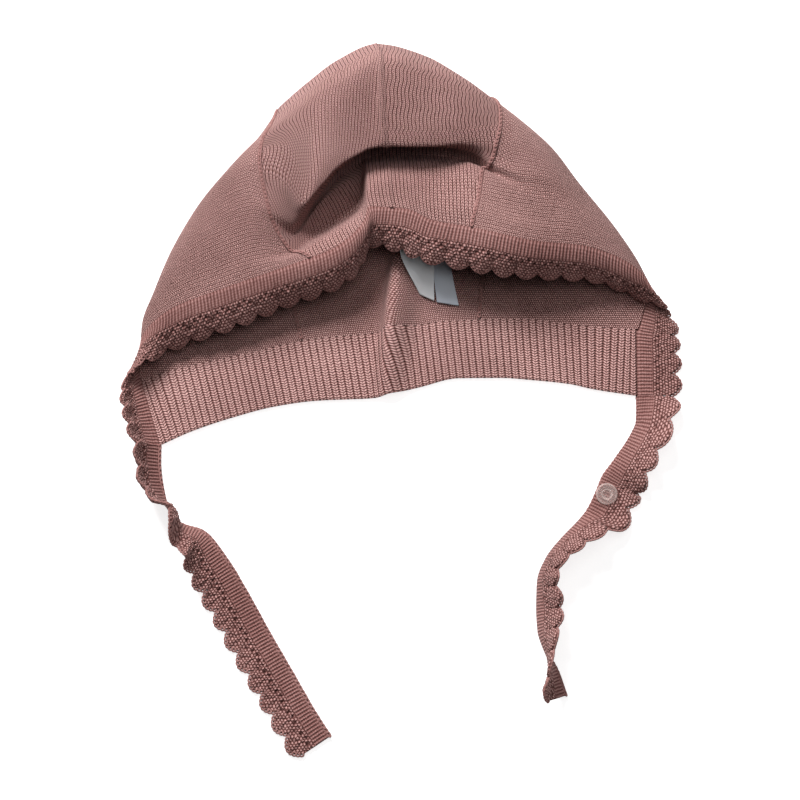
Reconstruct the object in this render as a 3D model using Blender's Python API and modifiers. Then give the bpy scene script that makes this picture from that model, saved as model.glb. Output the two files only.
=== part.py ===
"""Knitted baby bonnet, lying on its back with its face opening up and its two ties in front of it.

+Y points to the crown, -Y to the neck edge and the ties, +Z up. Units are metres.
Each sheet of the hollow is spanned between its edge curves. The tables give those curves, the heights and the
folds as shares of the named sizes, one row for each place or fold.
"""

import math
from collections import namedtuple

import bmesh
import bpy
import mathutils
import numpy as np

# Driving sizes, in metres
HALF_WIDTH = 0.1325  # from the middle of the hollow to a side fold
LENGTH = 0.1765  # from near the crown point to the middle of the neck edge
HEIGHT = 0.042  # from the surface to the top of the hollow
FOLD_HEIGHT = 0.0105  # middle of a side fold above the surface
WALL = 0.0020  # knitted wall
SETTLING = 0.0004  # how far the lower sheet flattens onto the surface
BAND_WALL = 0.0018  # ribbed wall, between one rib and the next
SEAM_SHARE = 0.0010  # half the gap between two panels, as a share of the sheet's width
BAND_GAP = 0.030  # between the panels and the band, as a share of the band's height
HEM_GAP = 0.0007  # between a panel and the edging
FLOOR_GAP = 0.0002  # between the edging and the surface under it
TIE_GAP = 0.0007  # between the edging and a tie

EDGING_WIDTH = 0.0161  # from the hem line to the notches between the scallops
SMOOTHING = 5  # how many times the line of the edging is evened out
SCALLOP_DEPTH = 0.0051
SCALLOP_PITCH = 0.0115
SCALLOP_FULLNESS = 0.75  # below 1 a scallop is rounder, above 1 more pointed
EDGING_WALL = 0.0020
RIBS = 70
RIB_RELIEF = 0.0007
BAND_INSET = 0.0004  # share of the band's width left at each end

SNAP_X, SNAP_Y = 0.772, -0.283  # shares, as in the tables
SNAP_RADIUS = 0.0054
SNAP_SOCKET_RADIUS = 0.0046
SNAP_THICKNESS = 0.0011
SNAP_POST_RADIUS = 0.0015
SNAP_CLEARANCE = 0.0003
SNAP_REACH = 0.013  # how far the tie stays raised round the snap
LABEL_WALL = 0.0004

# How finely the sheets are cut
SHEET_ROWS = 24
PANEL_COLUMNS, SIDE_COLUMNS, UNDER_COLUMNS = 13, 10, 8
SIDE_START = 0.018  # where the side panels start, as a share of the way from the crown to the far edge
CROWN_CROWDING = 1.2  # how much closer the rows are at the crown
FOLD_CROWDING = 1.6  # how much closer the columns are at a side fold
SCALLOP_CUTS = 4  # cuts along each scallop

# Edge curves seen from above: x as a share of HALF_WIDTH, y as a share of LENGTH
Place = namedtuple("Place", "x y")
CROWN_LINE = [
    Place(-0.462, 0.838),
    Place(-0.340, 0.914),
    Place(-0.236, 0.972),
    Place(-0.096, 1.014),
    Place(0.100, 0.978),
    Place(0.206, 0.926),
    Place(0.283, 0.879),
    Place(0.340, 0.836),
]
LEFT_FOLD = [
    Place(-0.462, 0.838),
    Place(-0.562, 0.711),
    Place(-0.668, 0.626),
    Place(-0.762, 0.541),
    Place(-0.830, 0.456),
    Place(-0.887, 0.371),
    Place(-0.932, 0.286),
    Place(-0.970, 0.201),
    Place(-0.975, 0.160),
]
RIGHT_FOLD = [
    Place(0.340, 0.836),
    Place(0.490, 0.752),
    Place(0.608, 0.669),
    Place(0.694, 0.584),
    Place(0.777, 0.499),
    Place(0.857, 0.414),
    Place(0.913, 0.351),
    Place(0.947, 0.300),
]
FRONT_HEM = [
    Place(-0.975, 0.160),
    Place(-0.925, 0.196),
    Place(-0.853, 0.232),
    Place(-0.653, 0.286),
    Place(-0.426, 0.343),
    Place(-0.226, 0.402),
    Place(-0.136, 0.470),
    Place(-0.115, 0.510),
    Place(0.023, 0.501),
    Place(0.121, 0.467),
    Place(0.264, 0.445),
    Place(0.528, 0.405),
    Place(0.672, 0.401),
    Place(0.785, 0.382),
    Place(0.872, 0.354),
    Place(0.922, 0.326),
    Place(0.947, 0.300),
]
# Far edge of the lower sheet: its middle stretch, between the two places below, is the top of the neck band
LOWER_EDGE = [
    Place(-0.975, 0.160),
    Place(-0.988, 0.108),
    Place(-0.977, 0.042),
    Place(-0.864, 0.071),
    Place(-0.592, 0.119),
    Place(-0.317, 0.164),
    Place(-0.094, 0.180),
    Place(0.189, 0.215),
    Place(0.468, 0.221),
    Place(0.642, 0.205),
    Place(0.894, 0.190),
    Place(0.922, 0.240),
    Place(0.947, 0.300),
]
BAND_LEFT, BAND_RIGHT = 2, 10
NECK_EDGE = [
    Place(-0.902, -0.142),
    Place(-0.785, -0.102),
    Place(-0.630, -0.062),
    Place(-0.475, -0.031),
    Place(-0.317, -0.014),
    Place(-0.091, -0.006),
    Place(0.075, 0.025),
    Place(0.223, 0.051),
    Place(0.377, 0.052),
    Place(0.509, 0.045),
    Place(0.642, 0.034),
    Place(0.725, 0.020),
    Place(0.894, 0.000),
]

# Heights of the upper sheet, from the crown line to the face opening, as shares of HEIGHT
Rise = namedtuple("Rise", "at left_side left crease right right_side")
UPPER_RISES = [
    Rise(0.00, 0.70, 0.80, 0.90, 0.85, 0.70),
    Rise(0.20, 0.72, 0.86, 1.00, 0.92, 0.80),
    Rise(0.40, 0.72, 0.84, 1.02, 0.92, 0.84),
    Rise(0.60, 0.70, 0.76, 0.92, 0.90, 0.84),
    Rise(0.80, 0.66, 0.68, 0.80, 0.88, 0.82),
    Rise(1.00, 0.58, 0.62, 0.72, 0.84, 0.74),
]
RISE_PLACES = (0.0, 0.25, 0.47, 0.75, 1.0)

# Height of the side folds, as a share of FOLD_HEIGHT
Edge = namedtuple("Edge", "at left right")
FOLD_RISES = [
    Edge(0.0, 0.75, 0.75),
    Edge(0.3, 1.00, 1.00),
    Edge(0.8, 1.05, 1.05),
    Edge(1.0, 0.90, 0.85),
]

# Folds and dents: middle as shares of HALF_WIDTH and LENGTH, turn of the fold's own line in degrees,
# half length and half width as shares of HALF_WIDTH, lift and push as shares of HEIGHT. A fold leans over along
# its push, which points to the left of its line.
Fold = namedtuple("Fold", "name x y turn half_length half_width lift push")
LOWER_FOLDS = [
    Fold("pleat in the back", 0.005, 0.250, 84.0, 0.34, 0.042, 0.21, 0.10),
]

# The roll of the crown over the middle, at places across the upper sheet: its lip's y as a share of LENGTH and height
# as a share of HEIGHT, how far the cloth goes back under the lip as a share of LENGTH, heights of the fold's floor and
# of the tongue that comes out from under it, and how much the roll holds there
Roll = namedtuple("Roll", "at lip lip_rise under floor tongue hold")
ROLL = [
    Roll(0.120, 0.520, 0.60, -0.120, 0.58, 0.54, 0.0),
    Roll(0.200, 0.520, 0.64, -0.110, 0.58, 0.56, 0.15),
    Roll(0.250, 0.515, 0.66, -0.085, 0.53, 0.54, 0.50),
    Roll(0.290, 0.502, 0.69, -0.045, 0.42, 0.50, 0.90),
    Roll(0.335, 0.566, 0.74, -0.005, 0.20, 0.34, 1.0),
    Roll(0.380, 0.622, 0.78, 0.020, 0.14, 0.28, 1.0),
    Roll(0.420, 0.648, 0.80, 0.032, 0.13, 0.28, 1.0),
    Roll(0.446, 0.660, 0.82, 0.034, 0.14, 0.36, 1.0),
    Roll(0.472, 0.668, 0.84, 0.036, 0.17, 0.66, 1.0),
    Roll(0.520, 0.674, 0.87, 0.036, 0.22, 0.72, 1.0),
    Roll(0.580, 0.672, 0.87, 0.034, 0.26, 0.72, 1.0),
    Roll(0.640, 0.674, 0.85, 0.020, 0.36, 0.73, 1.0),
    Roll(0.695, 0.680, 0.82, -0.012, 0.48, 0.74, 0.95),
    Roll(0.750, 0.680, 0.77, -0.050, 0.61, 0.75, 0.65),
    Roll(0.820, 0.662, 0.70, -0.080, 0.64, 0.76, 0.18),
    Roll(0.900, 0.640, 0.60, -0.100, 0.60, 0.66, 0.0),
]

# Seams of the centre panel: share across the sheet at its far edge, and how soon the seam leaves the side fold
UPPER_SEAM_LEFT = 0.330
UPPER_SEAM_RIGHT = 0.342
LOWER_SEAM_LEFT = 0.355
LOWER_SEAM_RIGHT = 0.340
UPPER_SEAM_LEFT_POWER = 0.85
UPPER_SEAM_RIGHT_POWER = 0.62
LOWER_SEAM_POWER = 0.42
SEAM_WIDENING = 10  # how many times wider the gap at a seam is at the narrow crown
SEAM_FADE = 0.04  # how soon it narrows, as a share of the way to the far edge

# How square the section of the hollow is, and how soon the upper sheet rises from the crown line
UPPER_ROUNDNESS = 2.3
LOWER_ROUNDNESS = 4.0
CROWN_TURN = 0.28

# The roll's path as shares of the way from its start to the opening, where it starts and how soon it takes hold,
# the crest's height over the lip as a share of HEIGHT, and how far the tongue comes out and how wide the floor is as
# shares of LENGTH
ROLL_KNOTS = (0.0, 0.27, 0.42, 0.51, 0.59, 0.655, 0.76, 0.86, 0.94, 1.0)
ROLL_START = 0.18
ROLL_BLEND = 0.20
ROLL_CREST = 0.12
ROLL_TONGUE = 0.037
ROLL_TURN = 0.018

# Ties: place along the tie, x and y of the plain edge as above, roll of the scalloped edge in degrees from lying flat,
# and curl of the section in degrees. At 90 degrees the scalloped edge stands straight above the plain edge.
Bend = namedtuple("Bend", "x y roll curl")
LEFT_TIE = [
    Bend(-0.902, -0.142, 57, -50),
    Bend(-0.902, -0.193, 58, -50),
    Bend(-0.894, -0.249, 62, -40),
    Bend(-0.879, -0.303, 76, 0),
    Bend(-0.862, -0.331, 94, 50),
    Bend(-0.838, -0.358, 84, 70),
    Bend(-0.800, -0.372, 48, 50),
    Bend(-0.743, -0.385, 44, 20),
    Bend(-0.645, -0.465, 12, 0),
    Bend(-0.574, -0.550, 0, 0),
    Bend(-0.487, -0.666, 0, 0),
    Bend(-0.390, -0.790, 0, 0),
    Bend(-0.308, -0.895, 0, 0),
    Bend(-0.255, -0.955, 0, 0),
]
RIGHT_TIE = [
    Bend(0.894, 0.000, 0, 0),
    Bend(0.890, -0.071, 30, 0),
    Bend(0.872, -0.105, 36, 0),
    Bend(0.811, -0.176, 26, 0),
    Bend(0.758, -0.235, 0, 0),
    Bend(0.727, -0.290, 0, 0),
    Bend(0.705, -0.320, 12, 5),
    Bend(0.679, -0.346, 46, 20),
    Bend(0.592, -0.416, 62, 30),
    Bend(0.543, -0.467, 68, 30),
    Bend(0.513, -0.527, 66, 30),
    Bend(0.508, -0.606, 56, 30),
    Bend(0.512, -0.663, 62, 30),
    Bend(0.540, -0.722, 80, 30),
    Bend(0.577, -0.771, 105, 30),
    Bend(0.612, -0.844, 130, 20),
]

# Labels: places of the left and right side of each label, x and y as above and z as a share of HEIGHT
LabelRow = namedtuple("LabelRow", "left_x left_y left_z right_x right_y right_z")
CARE_LABEL = [
    LabelRow(0.060, 0.482, 0.162, 0.150, 0.462, 0.143),
    LabelRow(0.000, 0.405, 0.330, 0.128, 0.388, 0.260),
    LabelRow(0.076, 0.290, 0.080, 0.130, 0.272, 0.070),
]
SIZE_LABEL = [
    LabelRow(0.095, 0.468, 0.119, 0.180, 0.455, 0.100),
    LabelRow(0.120, 0.376, 0.195, 0.194, 0.362, 0.160),
    LabelRow(0.140, 0.268, 0.069, 0.223, 0.258, 0.066),
]

# Edging from one neck corner to the other: place along the face opening (below 0 and above 1 it follows the edge of
# the lower sheet and the end of the band), which way the edging leaves it, seen from above in degrees from +X and
# above the horizontal, how far its section curls over in degrees, and its width as a share, less where it is gathered
Spread = namedtuple("Spread", "at heading lift curl width")
EDGING_SPREAD = [
    Spread(-1.00, 178, 57, -50, 1.0),
    Spread(-0.75, 198, 57, -50, 0.95),
    Spread(-0.50, 226, 50, -40, 0.76),
    Spread(-0.25, 246, 34, -30, 0.62),
    Spread(0.000, 256, 10, 0, 0.70),
    Spread(0.040, 260, -10, 25, 0.9),
    Spread(0.076, 268, -28, 50, 1.0),
    Spread(0.174, 277, -28, 45, 1.0),
    Spread(0.283, 276, -38, 65, 1.0),
    Spread(0.382, 278, -40, 65, 1.0),
    Spread(0.441, 268, -42, 65, 1.0),
    Spread(0.473, 264, -42, 65, 1.0),
    Spread(0.540, 260, -28, 50, 1.0),
    Spread(0.591, 252, -28, 50, 1.0),
    Spread(0.658, 260, -28, 50, 1.0),
    Spread(0.782, 261, -44, 70, 1.0),
    Spread(0.848, 266, -48, 75, 1.0),
    Spread(0.901, 271, -54, 80, 1.0),
    Spread(0.943, 278, -54, 80, 1.0),
    Spread(0.965, 288, -46, 60, 0.85),
    Spread(0.985, 304, -34, 40, 0.65),
    Spread(1.000, 318, -22, 20, 0.50),
    Spread(1.120, 330, -4, 10, 0.52),
    Spread(1.300, 342, 0, 10, 0.75),
    Spread(1.500, 350, 0, 10, 0.95),
    Spread(1.750, 358, 0, 0, 1.0),
    Spread(2.000, 360, 0, 0, 1.0),
]

KNIT = (0.330, 0.170, 0.150, 1.0)
KNIT_DARK = (0.290, 0.148, 0.132, 1.0)
LABEL_WHITE = (0.80, 0.82, 0.84, 1.0)
LABEL_GREY = (0.52, 0.56, 0.64, 1.0)
CLEAR = (0.80, 0.72, 0.70, 1.0)


def read(rows, column, at, key="at"):
    """One column of a table, read as a smooth curve at the places given."""
    x = np.array([getattr(row, key) for row in rows], float)
    y = np.array([getattr(row, column) for row in rows], float)
    return hermite(x, y, at)


def hermite(x, y, at):
    """Cubic curve through the points (x, y) with slopes that don't overshoot."""
    at = np.clip(at, x[0], x[-1])
    step = np.diff(x)
    rise = np.diff(y) / step
    slope = np.empty_like(y)
    slope[0], slope[-1] = rise[0], rise[-1]
    before, after = 2 * step[1:] + step[:-1], step[1:] + 2 * step[:-1]
    steady = rise[:-1] * rise[1:] > 0
    safe = np.where(steady, rise[:-1], 1), np.where(steady, rise[1:], 1)
    slope[1:-1] = np.where(steady, (before + after) / (before / safe[0] + after / safe[1]), 0)
    i = np.clip(np.searchsorted(x, at, side="right") - 1, 0, len(step) - 1)
    t = (at - x[i]) / step[i]
    return (
        y[i] * (1 + 2 * t) * (1 - t) ** 2
        + slope[i] * step[i] * t * (1 - t) ** 2
        + y[i + 1] * t**2 * (3 - 2 * t)
        + slope[i + 1] * step[i] * t**2 * (t - 1)
    )


def arc_length(points):
    steps = np.linalg.norm(np.diff(points, axis=0), axis=-1)
    return np.concatenate([[0], np.cumsum(steps)])


def places(rows):
    """Each row's share of the length of its curve, and the rows in metres."""
    points = np.array(rows) * (HALF_WIDTH, LENGTH)
    length = arc_length(points)
    return length / length[-1], points


def plan(rows, at):
    """A table's curve seen from above, in metres."""
    share, points = places(rows)
    return np.stack([hermite(share, points[:, column], at) for column in (0, 1)], -1)


def spanned(near, far, across, along):
    """The sheet between the crown line and a far edge, and between the two side folds, seen from above."""
    u, t = across[..., None], along[..., None]
    corners = [plan(rows, np.array([0.0, 1.0])) for rows in (near, far)]
    return (
        (1 - t) * plan(near, across)
        + t * plan(far, across)
        + (1 - u) * plan(LEFT_FOLD, along)
        + u * plan(RIGHT_FOLD, along)
        - (1 - t) * ((1 - u) * corners[0][0] + u * corners[0][1])
        - t * ((1 - u) * corners[1][0] + u * corners[1][1])
    )


def arch(share, roundness):
    """0 at both ends and 1 in the middle, upright at the ends."""
    return np.clip(1 - np.abs(2 * share - 1) ** roundness, 0, 1) ** (1 / roundness)


def folded(points, folds):
    """The points moved by every fold in the table."""
    moved = points.copy()
    for fold in folds:
        turn = math.radians(fold.turn)
        line = np.array([math.cos(turn), math.sin(turn)])
        side = np.array([-math.sin(turn), math.cos(turn)])
        offset = points[..., :2] - np.array([fold.x * HALF_WIDTH, fold.y * LENGTH])
        reach = (offset @ line / fold.half_length) ** 2 + (offset @ side / fold.half_width) ** 2
        strength = np.exp(-reach / HALF_WIDTH**2) * HEIGHT
        moved[..., :2] += (fold.push * strength)[..., None] * side
        moved[..., 2] += fold.lift * strength
    return moved


def fold_rise(across, along):
    left = read(FOLD_RISES, "left", along)
    right = read(FOLD_RISES, "right", along)
    return FOLD_HEIGHT * ((1 - across) * left + across * right)


def rise(across, along):
    """Height of the upper sheet as a share of HEIGHT, before its folds."""
    total = 0
    for index, name in enumerate(Rise._fields[1:]):
        only = np.zeros(len(RISE_PLACES))
        only[index] = 1
        total = total + hermite(np.array(RISE_PLACES), only, across) * read(UPPER_RISES, name, along)
    return total


def upper(across, along):
    """Outer face of the upper sheet: across from the left fold to the right, along from the crown to the opening."""
    flat = spanned(CROWN_LINE, FRONT_HEM, across, along)
    edge = fold_rise(across, along) - SETTLING
    crown = np.sqrt(np.clip(1 - (1 - np.clip(along / CROWN_TURN, 0, 1)) ** 2, 0, 1))
    height = edge + (rise(across, along) * HEIGHT - edge) * arch(across, UPPER_ROUNDNESS) * crown
    return rolled(np.concatenate([flat, height[..., None]], -1), across, along)


def rolled(points, across, along):
    """The upper sheet with the crown rolled over the middle: each line from the crown to the opening goes over the
    roll to its lip, back under it, along the floor of the fold and out again over the tongue."""
    lip, lip_rise, under, floor, tongue, hold = (read(ROLL, column, across) for column in Roll._fields[1:])
    ones = np.ones_like(across)
    far = spanned(CROWN_LINE, FRONT_HEM, across, ROLL_START * ones)[..., 1] / LENGTH
    near = plan(FRONT_HEM, across)[..., 1] / LENGTH
    rises = [rise(across, place * ones) for place in (ROLL_START, 1.0)]
    front = np.minimum(lip, lip + under) - ROLL_TONGUE
    path = [far, lip + 0.3 * (far - lip), lip, lip + 0.6 * under, lip + under, lip + under - ROLL_TURN]
    path += [front, (front + near) / 2, near + 0.2 * (front - near), near]
    heights = [rises[0], lip_rise + ROLL_CREST, lip_rise, (lip_rise + floor) / 2, floor + ROLL_TURN * LENGTH / HEIGHT]
    heights += [floor, floor + 0.7 * (tongue - floor), tongue, tongue + 0.85 * (rises[1] - tongue), rises[1]]
    share = np.clip((along - ROLL_START) / (1 - ROLL_START), 0, 1)
    y, z = (knotted(np.stack(values), share) for values in (path, heights))
    on = hold * np.clip((along - ROLL_START) / ROLL_BLEND, 0, 1)
    points[..., 1] += on * (y * LENGTH - points[..., 1])
    points[..., 2] += on * (z * HEIGHT - points[..., 2])
    return points


def knotted(values, share):
    """A smooth curve through values at ROLL_KNOTS, each place with values of its own."""
    knots = np.array(ROLL_KNOTS)
    step = np.diff(knots).reshape(-1, *[1] * share.ndim)
    chord = np.diff(values, axis=0) / step
    slope = np.zeros_like(values)
    slope[0], slope[-1] = chord[0], chord[-1]
    steady = chord[:-1] * chord[1:] > 0
    weight = 2 * step[1:] + step[:-1], step[1:] + 2 * step[:-1]
    safe = np.where(steady, chord[:-1], 1), np.where(steady, chord[1:], 1)
    slope[1:-1] = np.where(steady, (weight[0] + weight[1]) / (weight[0] / safe[0] + weight[1] / safe[1]), 0)
    index = np.clip(np.searchsorted(knots, share, side="right") - 1, 0, len(knots) - 2)
    start, after, lean, lean_after = (
        np.take_along_axis(rows, (index + shift)[None], 0)[0]
        for rows, shift in ((values, 0), (values, 1), (slope, 0), (slope, 1))
    )
    width = np.diff(knots)[index]
    t = (share - knots[index]) / width
    rising, falling = t**2 * (3 - 2 * t), (1 + 2 * t) * (1 - t) ** 2
    return start * falling + after * rising + width * (lean * t * (1 - t) ** 2 + lean_after * t**2 * (t - 1))


def resting(across, along):
    """The lower sheet before its folds, from the crown to its far edge."""
    flat = spanned(CROWN_LINE, LOWER_EDGE, across, along)
    crown = np.clip(1 - (1 - np.clip(along / CROWN_TURN * 2, 0, 1)) ** LOWER_ROUNDNESS, 0, 1)
    height = fold_rise(across, along) * (1 - arch(across, LOWER_ROUNDNESS) * crown)
    return np.concatenate([flat, np.maximum(height - SETTLING, 0)[..., None]], -1)


def lower(across, along):
    """Outer face of the lower sheet, which lies on the surface."""
    return folded(resting(across, along), LOWER_FOLDS)


def band(across, down):
    """Outer face of the neck band, from its seam with the panels down to the neck edge."""
    left, right = places(LOWER_EDGE)[0][[BAND_LEFT, BAND_RIGHT]]
    start = resting(left + (right - left) * across, np.ones_like(across))
    end = np.concatenate([plan(NECK_EDGE, across), np.zeros_like(across)[..., None]], -1)
    return folded(start + (end - start) * down[..., None], LOWER_FOLDS)


def outward(surface, across, along):
    """Unit normals of a surface, from its own slopes."""
    step = 0.005
    slope_across = surface(np.clip(across + step, 0, 1), along) - surface(np.clip(across - step, 0, 1), along)
    slope_along = surface(across, np.clip(along + step, 0, 1)) - surface(across, np.clip(along - step, 0, 1))
    normal = np.cross(slope_along, slope_across) * (1 if surface is upper else -1)
    return normal / np.maximum(np.linalg.norm(normal, axis=-1, keepdims=True), 1e-12)


def walled(surface, across, along, wall):
    """A surface's outer and inner points."""
    across, along = np.broadcast_arrays(np.asarray(across, float), np.asarray(along, float))
    outer = surface(across, along)
    return outer, outer - outward(surface, across, along) * wall


def sheet_rows():
    """Shares of the way from the crown to the far edge, closer together at the crown. All panels share these rows."""
    return SIDE_START + (1 - SIDE_START) * np.linspace(0, 1, SHEET_ROWS) ** CROWN_CROWDING


def slab(name, outer, inner, colour, roughness=0.9):
    """A closed wall between two grids of points, made from one grid and its own extrusion."""
    rows, columns = outer.shape[:2]
    form = bmesh.new()
    bmesh.ops.create_grid(form, x_segments=columns - 1, y_segments=rows - 1, size=1)
    place = form.verts.layers.int.new("place")
    for vertex in form.verts:
        column = round((vertex.co.x + 1) / 2 * (columns - 1))
        row = round((vertex.co.y + 1) / 2 * (rows - 1))
        vertex[place] = row * columns + column
    far = bmesh.ops.extrude_face_region(form, geom=form.faces[:])["geom"]
    far = {item for item in far if isinstance(item, bmesh.types.BMVert)}
    for vertex in form.verts:
        row, column = divmod(vertex[place], columns)
        vertex.co = (inner if vertex in far else outer)[row, column]
    form.verts.layers.int.remove(place)
    bmesh.ops.recalc_face_normals(form, faces=form.faces[:])
    if form.calc_volume(signed=True) < 0:
        bmesh.ops.reverse_faces(form, faces=form.faces[:])
    mesh = bpy.data.meshes.new(name)
    form.to_mesh(mesh)
    form.free()
    return finish(bpy.data.objects.new(name, mesh), colour, roughness)


def finish(obj, colour, roughness):
    material = bpy.data.materials.new(obj.name)
    material.use_nodes = True
    shader = material.node_tree.nodes["Principled BSDF"]
    shader.inputs["Base Color"].default_value = colour
    shader.inputs["Roughness"].default_value = roughness
    obj.data.materials.append(material)
    obj.data.shade_smooth()
    PARTS.objects.link(obj)
    return obj


def upper_seams(along):
    left = UPPER_SEAM_LEFT * along**UPPER_SEAM_LEFT_POWER
    return left, 1 - UPPER_SEAM_RIGHT * along**UPPER_SEAM_RIGHT_POWER


def lower_seams(along):
    return LOWER_SEAM_LEFT * along**LOWER_SEAM_POWER, 1 - LOWER_SEAM_RIGHT * along**LOWER_SEAM_POWER


def seam_gap(along):
    """Half the gap between two panels as a share of the sheet's width, wider at the narrow crown."""
    return SEAM_SHARE * (1 + SEAM_WIDENING * np.exp(-along / SEAM_FADE))


def centre_panel():
    across = np.linspace(0, 1, PANEL_COLUMNS)
    grids = []
    rows = sheet_rows()
    above, under = np.append(rows[::-1], 0), np.append(rows[:-1:2], 1)
    sheets = (upper, above, upper_seams), (lower, under, lower_seams)
    for surface, alongs, seams in sheets:
        along = alongs[:, None]
        left, right = seams(along)
        left, right = left + seam_gap(along), right - seam_gap(along)
        grids.append(walled(surface, left + (right - left) * across, along, WALL))
    outer, inner = (np.concatenate(pair) for pair in zip(*grids))
    slab("centre_panel", outer, inner, KNIT)


def side_panel(name, left_side):
    along = sheet_rows()[:, None]
    top_left, top_right = upper_seams(along)
    bottom_left, bottom_right = lower_seams(along)
    top = (top_left if left_side else 1 - top_right) - seam_gap(along)
    bottom = (bottom_left if left_side else 1 - bottom_right) - seam_gap(along)
    above_fold = top * np.linspace(1, 0, SIDE_COLUMNS) ** FOLD_CROWDING
    under_fold = bottom * np.linspace(0, 1, UNDER_COLUMNS)[1:] ** FOLD_CROWDING
    if not left_side:
        above_fold, under_fold = 1 - above_fold, 1 - under_fold
    grids = [walled(upper, above_fold, along, WALL), walled(lower, under_fold, along, WALL)]
    outer, inner = (np.concatenate(pair, axis=1) for pair in zip(*grids))
    slab(name, outer, inner, KNIT)


def neck_band():
    count = 2 * RIBS + 1
    across = np.linspace(BAND_INSET, 1 - BAND_INSET, count)
    down = np.linspace(BAND_GAP, 1, 3)[:, None]
    outer, inner = walled(band, across, down, BAND_WALL)
    rib = (np.arange(count) % 2)[None, :, None] * RIB_RELIEF * (inner - outer) / BAND_WALL
    slab("neck_band", outer + rib, inner + rib, KNIT)


def hem_line(at):
    """The line that the edging follows, and the outward normals of the sheets along it."""
    band_left, band_right = places(LOWER_EDGE)[0][[BAND_LEFT, BAND_RIGHT]]
    stretches = (
        (at < -0.5, band, 0.0 * at, -2 * at - 1),
        ((at >= -0.5) & (at < 0), lower, -2 * at * band_left, 0 * at + 1),
        ((at >= 0) & (at <= 1), upper, at, 0 * at + 1),
        ((at > 1) & (at <= 1.5), lower, 1 - 2 * (at - 1) * (1 - band_right), 0 * at + 1),
        (at > 1.5, band, 0 * at + 1, 2 * at - 3),
    )
    points, normals = np.zeros((2, len(at), 3))
    for on, surface, across, along in stretches:
        points[on] = surface(across[on], along[on])
        normals[on] = outward(surface, across[on], along[on])
    return points, normals


def scalloped(line, start, stop):
    """Parameters that cut a line into whole scallops, and how far the scallops reach out there."""
    fine = np.linspace(start, stop, 2001)
    length = arc_length(line(fine))
    cuts = SCALLOP_CUTS * round(length[-1] / SCALLOP_PITCH)
    at = np.interp(np.linspace(0, length[-1], cuts + 1), length, fine)
    reach = np.abs(np.sin(np.pi * np.arange(cuts + 1) / SCALLOP_CUTS)) ** SCALLOP_FULLNESS
    return at, SCALLOP_DEPTH * reach


def unit(vectors):
    return vectors / np.maximum(np.linalg.norm(vectors, axis=-1, keepdims=True), 1e-12)


def directions(heading, lift):
    heading, lift = np.radians(heading), np.radians(lift)
    return np.stack([np.cos(heading) * np.cos(lift), np.sin(heading) * np.cos(lift), np.sin(lift)], -1)


def ribbon_points(base, heading, lift, curl, width):
    """Points across a ribbon, from its plain edge out: its section curls downward about its mean direction."""
    shares = np.array([0, 0.4, 0.75, 1.0])
    middle = (shares[1:] + shares[:-1]) / 2
    turn = lift[:, None] + curl[:, None] * (0.5 - middle)
    steps = directions(heading[:, None] + 0 * turn, turn) * (np.diff(shares) * width[:, None])[..., None]
    return base[:, None] + np.concatenate([0 * steps[:, :1], np.cumsum(steps, 1)], 1)


def faces_of(points):
    """Unit normals of a grid of points, upward where the ribbon lies flat."""
    return unit(np.cross(np.gradient(points, axis=1), np.gradient(points, axis=0)))


def lowest(points, normals):
    """Height of each section's lowest point."""
    return (points[..., 2] - np.abs(normals[..., 2]) * EDGING_WALL / 2).min(1, keepdims=True)


def ribbon(name, points, wall):
    normals = faces_of(points)
    return slab(name, points + normals * wall / 2, points - normals * wall / 2, KNIT)


def front_edging():
    def line(at):
        return hem_line(at)[0]

    at, reach = scalloped(line, -1, 2)
    heading, lift, curl, gathered = (read(EDGING_SPREAD, column, at) for column in Spread._fields[1:])
    rim, normals = hem_line(at)
    beyond = unit(np.cross(normals, unit(np.gradient(rim, axis=0))))
    first = directions(heading, lift + curl / 2)
    beyond *= np.sign((beyond * first).sum(-1, keepdims=True))
    gap = HEM_GAP + EDGING_WALL / 2 * np.abs((first * normals).sum(-1, keepdims=True))
    middle = rim - normals * WALL / 2
    base = middle + beyond * gap
    for _ in range(SMOOTHING):
        base[1:-1] = (base[:-2] + 2 * base[1:-1] + base[2:]) / 4
        base += beyond * np.maximum(gap - ((base - middle) * beyond).sum(-1, keepdims=True), 0)
    width = EDGING_WIDTH * gathered + reach
    points = ribbon_points(base, heading, lift, curl, width)
    points[..., 2] += np.maximum(FLOOR_GAP - lowest(points, faces_of(points)), 0)
    ribbon("front_edging", points, EDGING_WALL)


def tie(name, table, scallop_side):
    """A tie: its plain edge follows a table, and it rests on the surface."""
    rows = np.array([(row.x * HALF_WIDTH, row.y * LENGTH, row.roll, row.curl) for row in table])
    place = arc_length(rows[:, :2])

    def line(at):
        return np.stack([hermite(place, rows[:, column], at) for column in (0, 1)], -1)

    at, reach = scalloped(line, TIE_GAP, place[-1])
    plain = line(at)
    travel = np.degrees(np.unwrap(np.arctan2(*np.gradient(plain, axis=0)[:, ::-1].T)))
    roll, curl = hermite(place, rows[:, 2], at), hermite(place, rows[:, 3], at)
    base = np.concatenate([plain, np.zeros((len(at), 1))], 1)
    heading = travel + 90 * scallop_side
    points = ribbon_points(base, heading, roll, curl, EDGING_WIDTH + reach)
    points[..., 2] -= lowest(points, faces_of(points))
    away = np.linalg.norm(points[..., :2] - SNAP_CENTRE, axis=-1) / SNAP_REACH
    points[..., 2] += (SNAP_THICKNESS + 1.5 * SNAP_CLEARANCE) * np.exp(-(away**4))
    return ribbon(name, points, EDGING_WALL)


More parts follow.
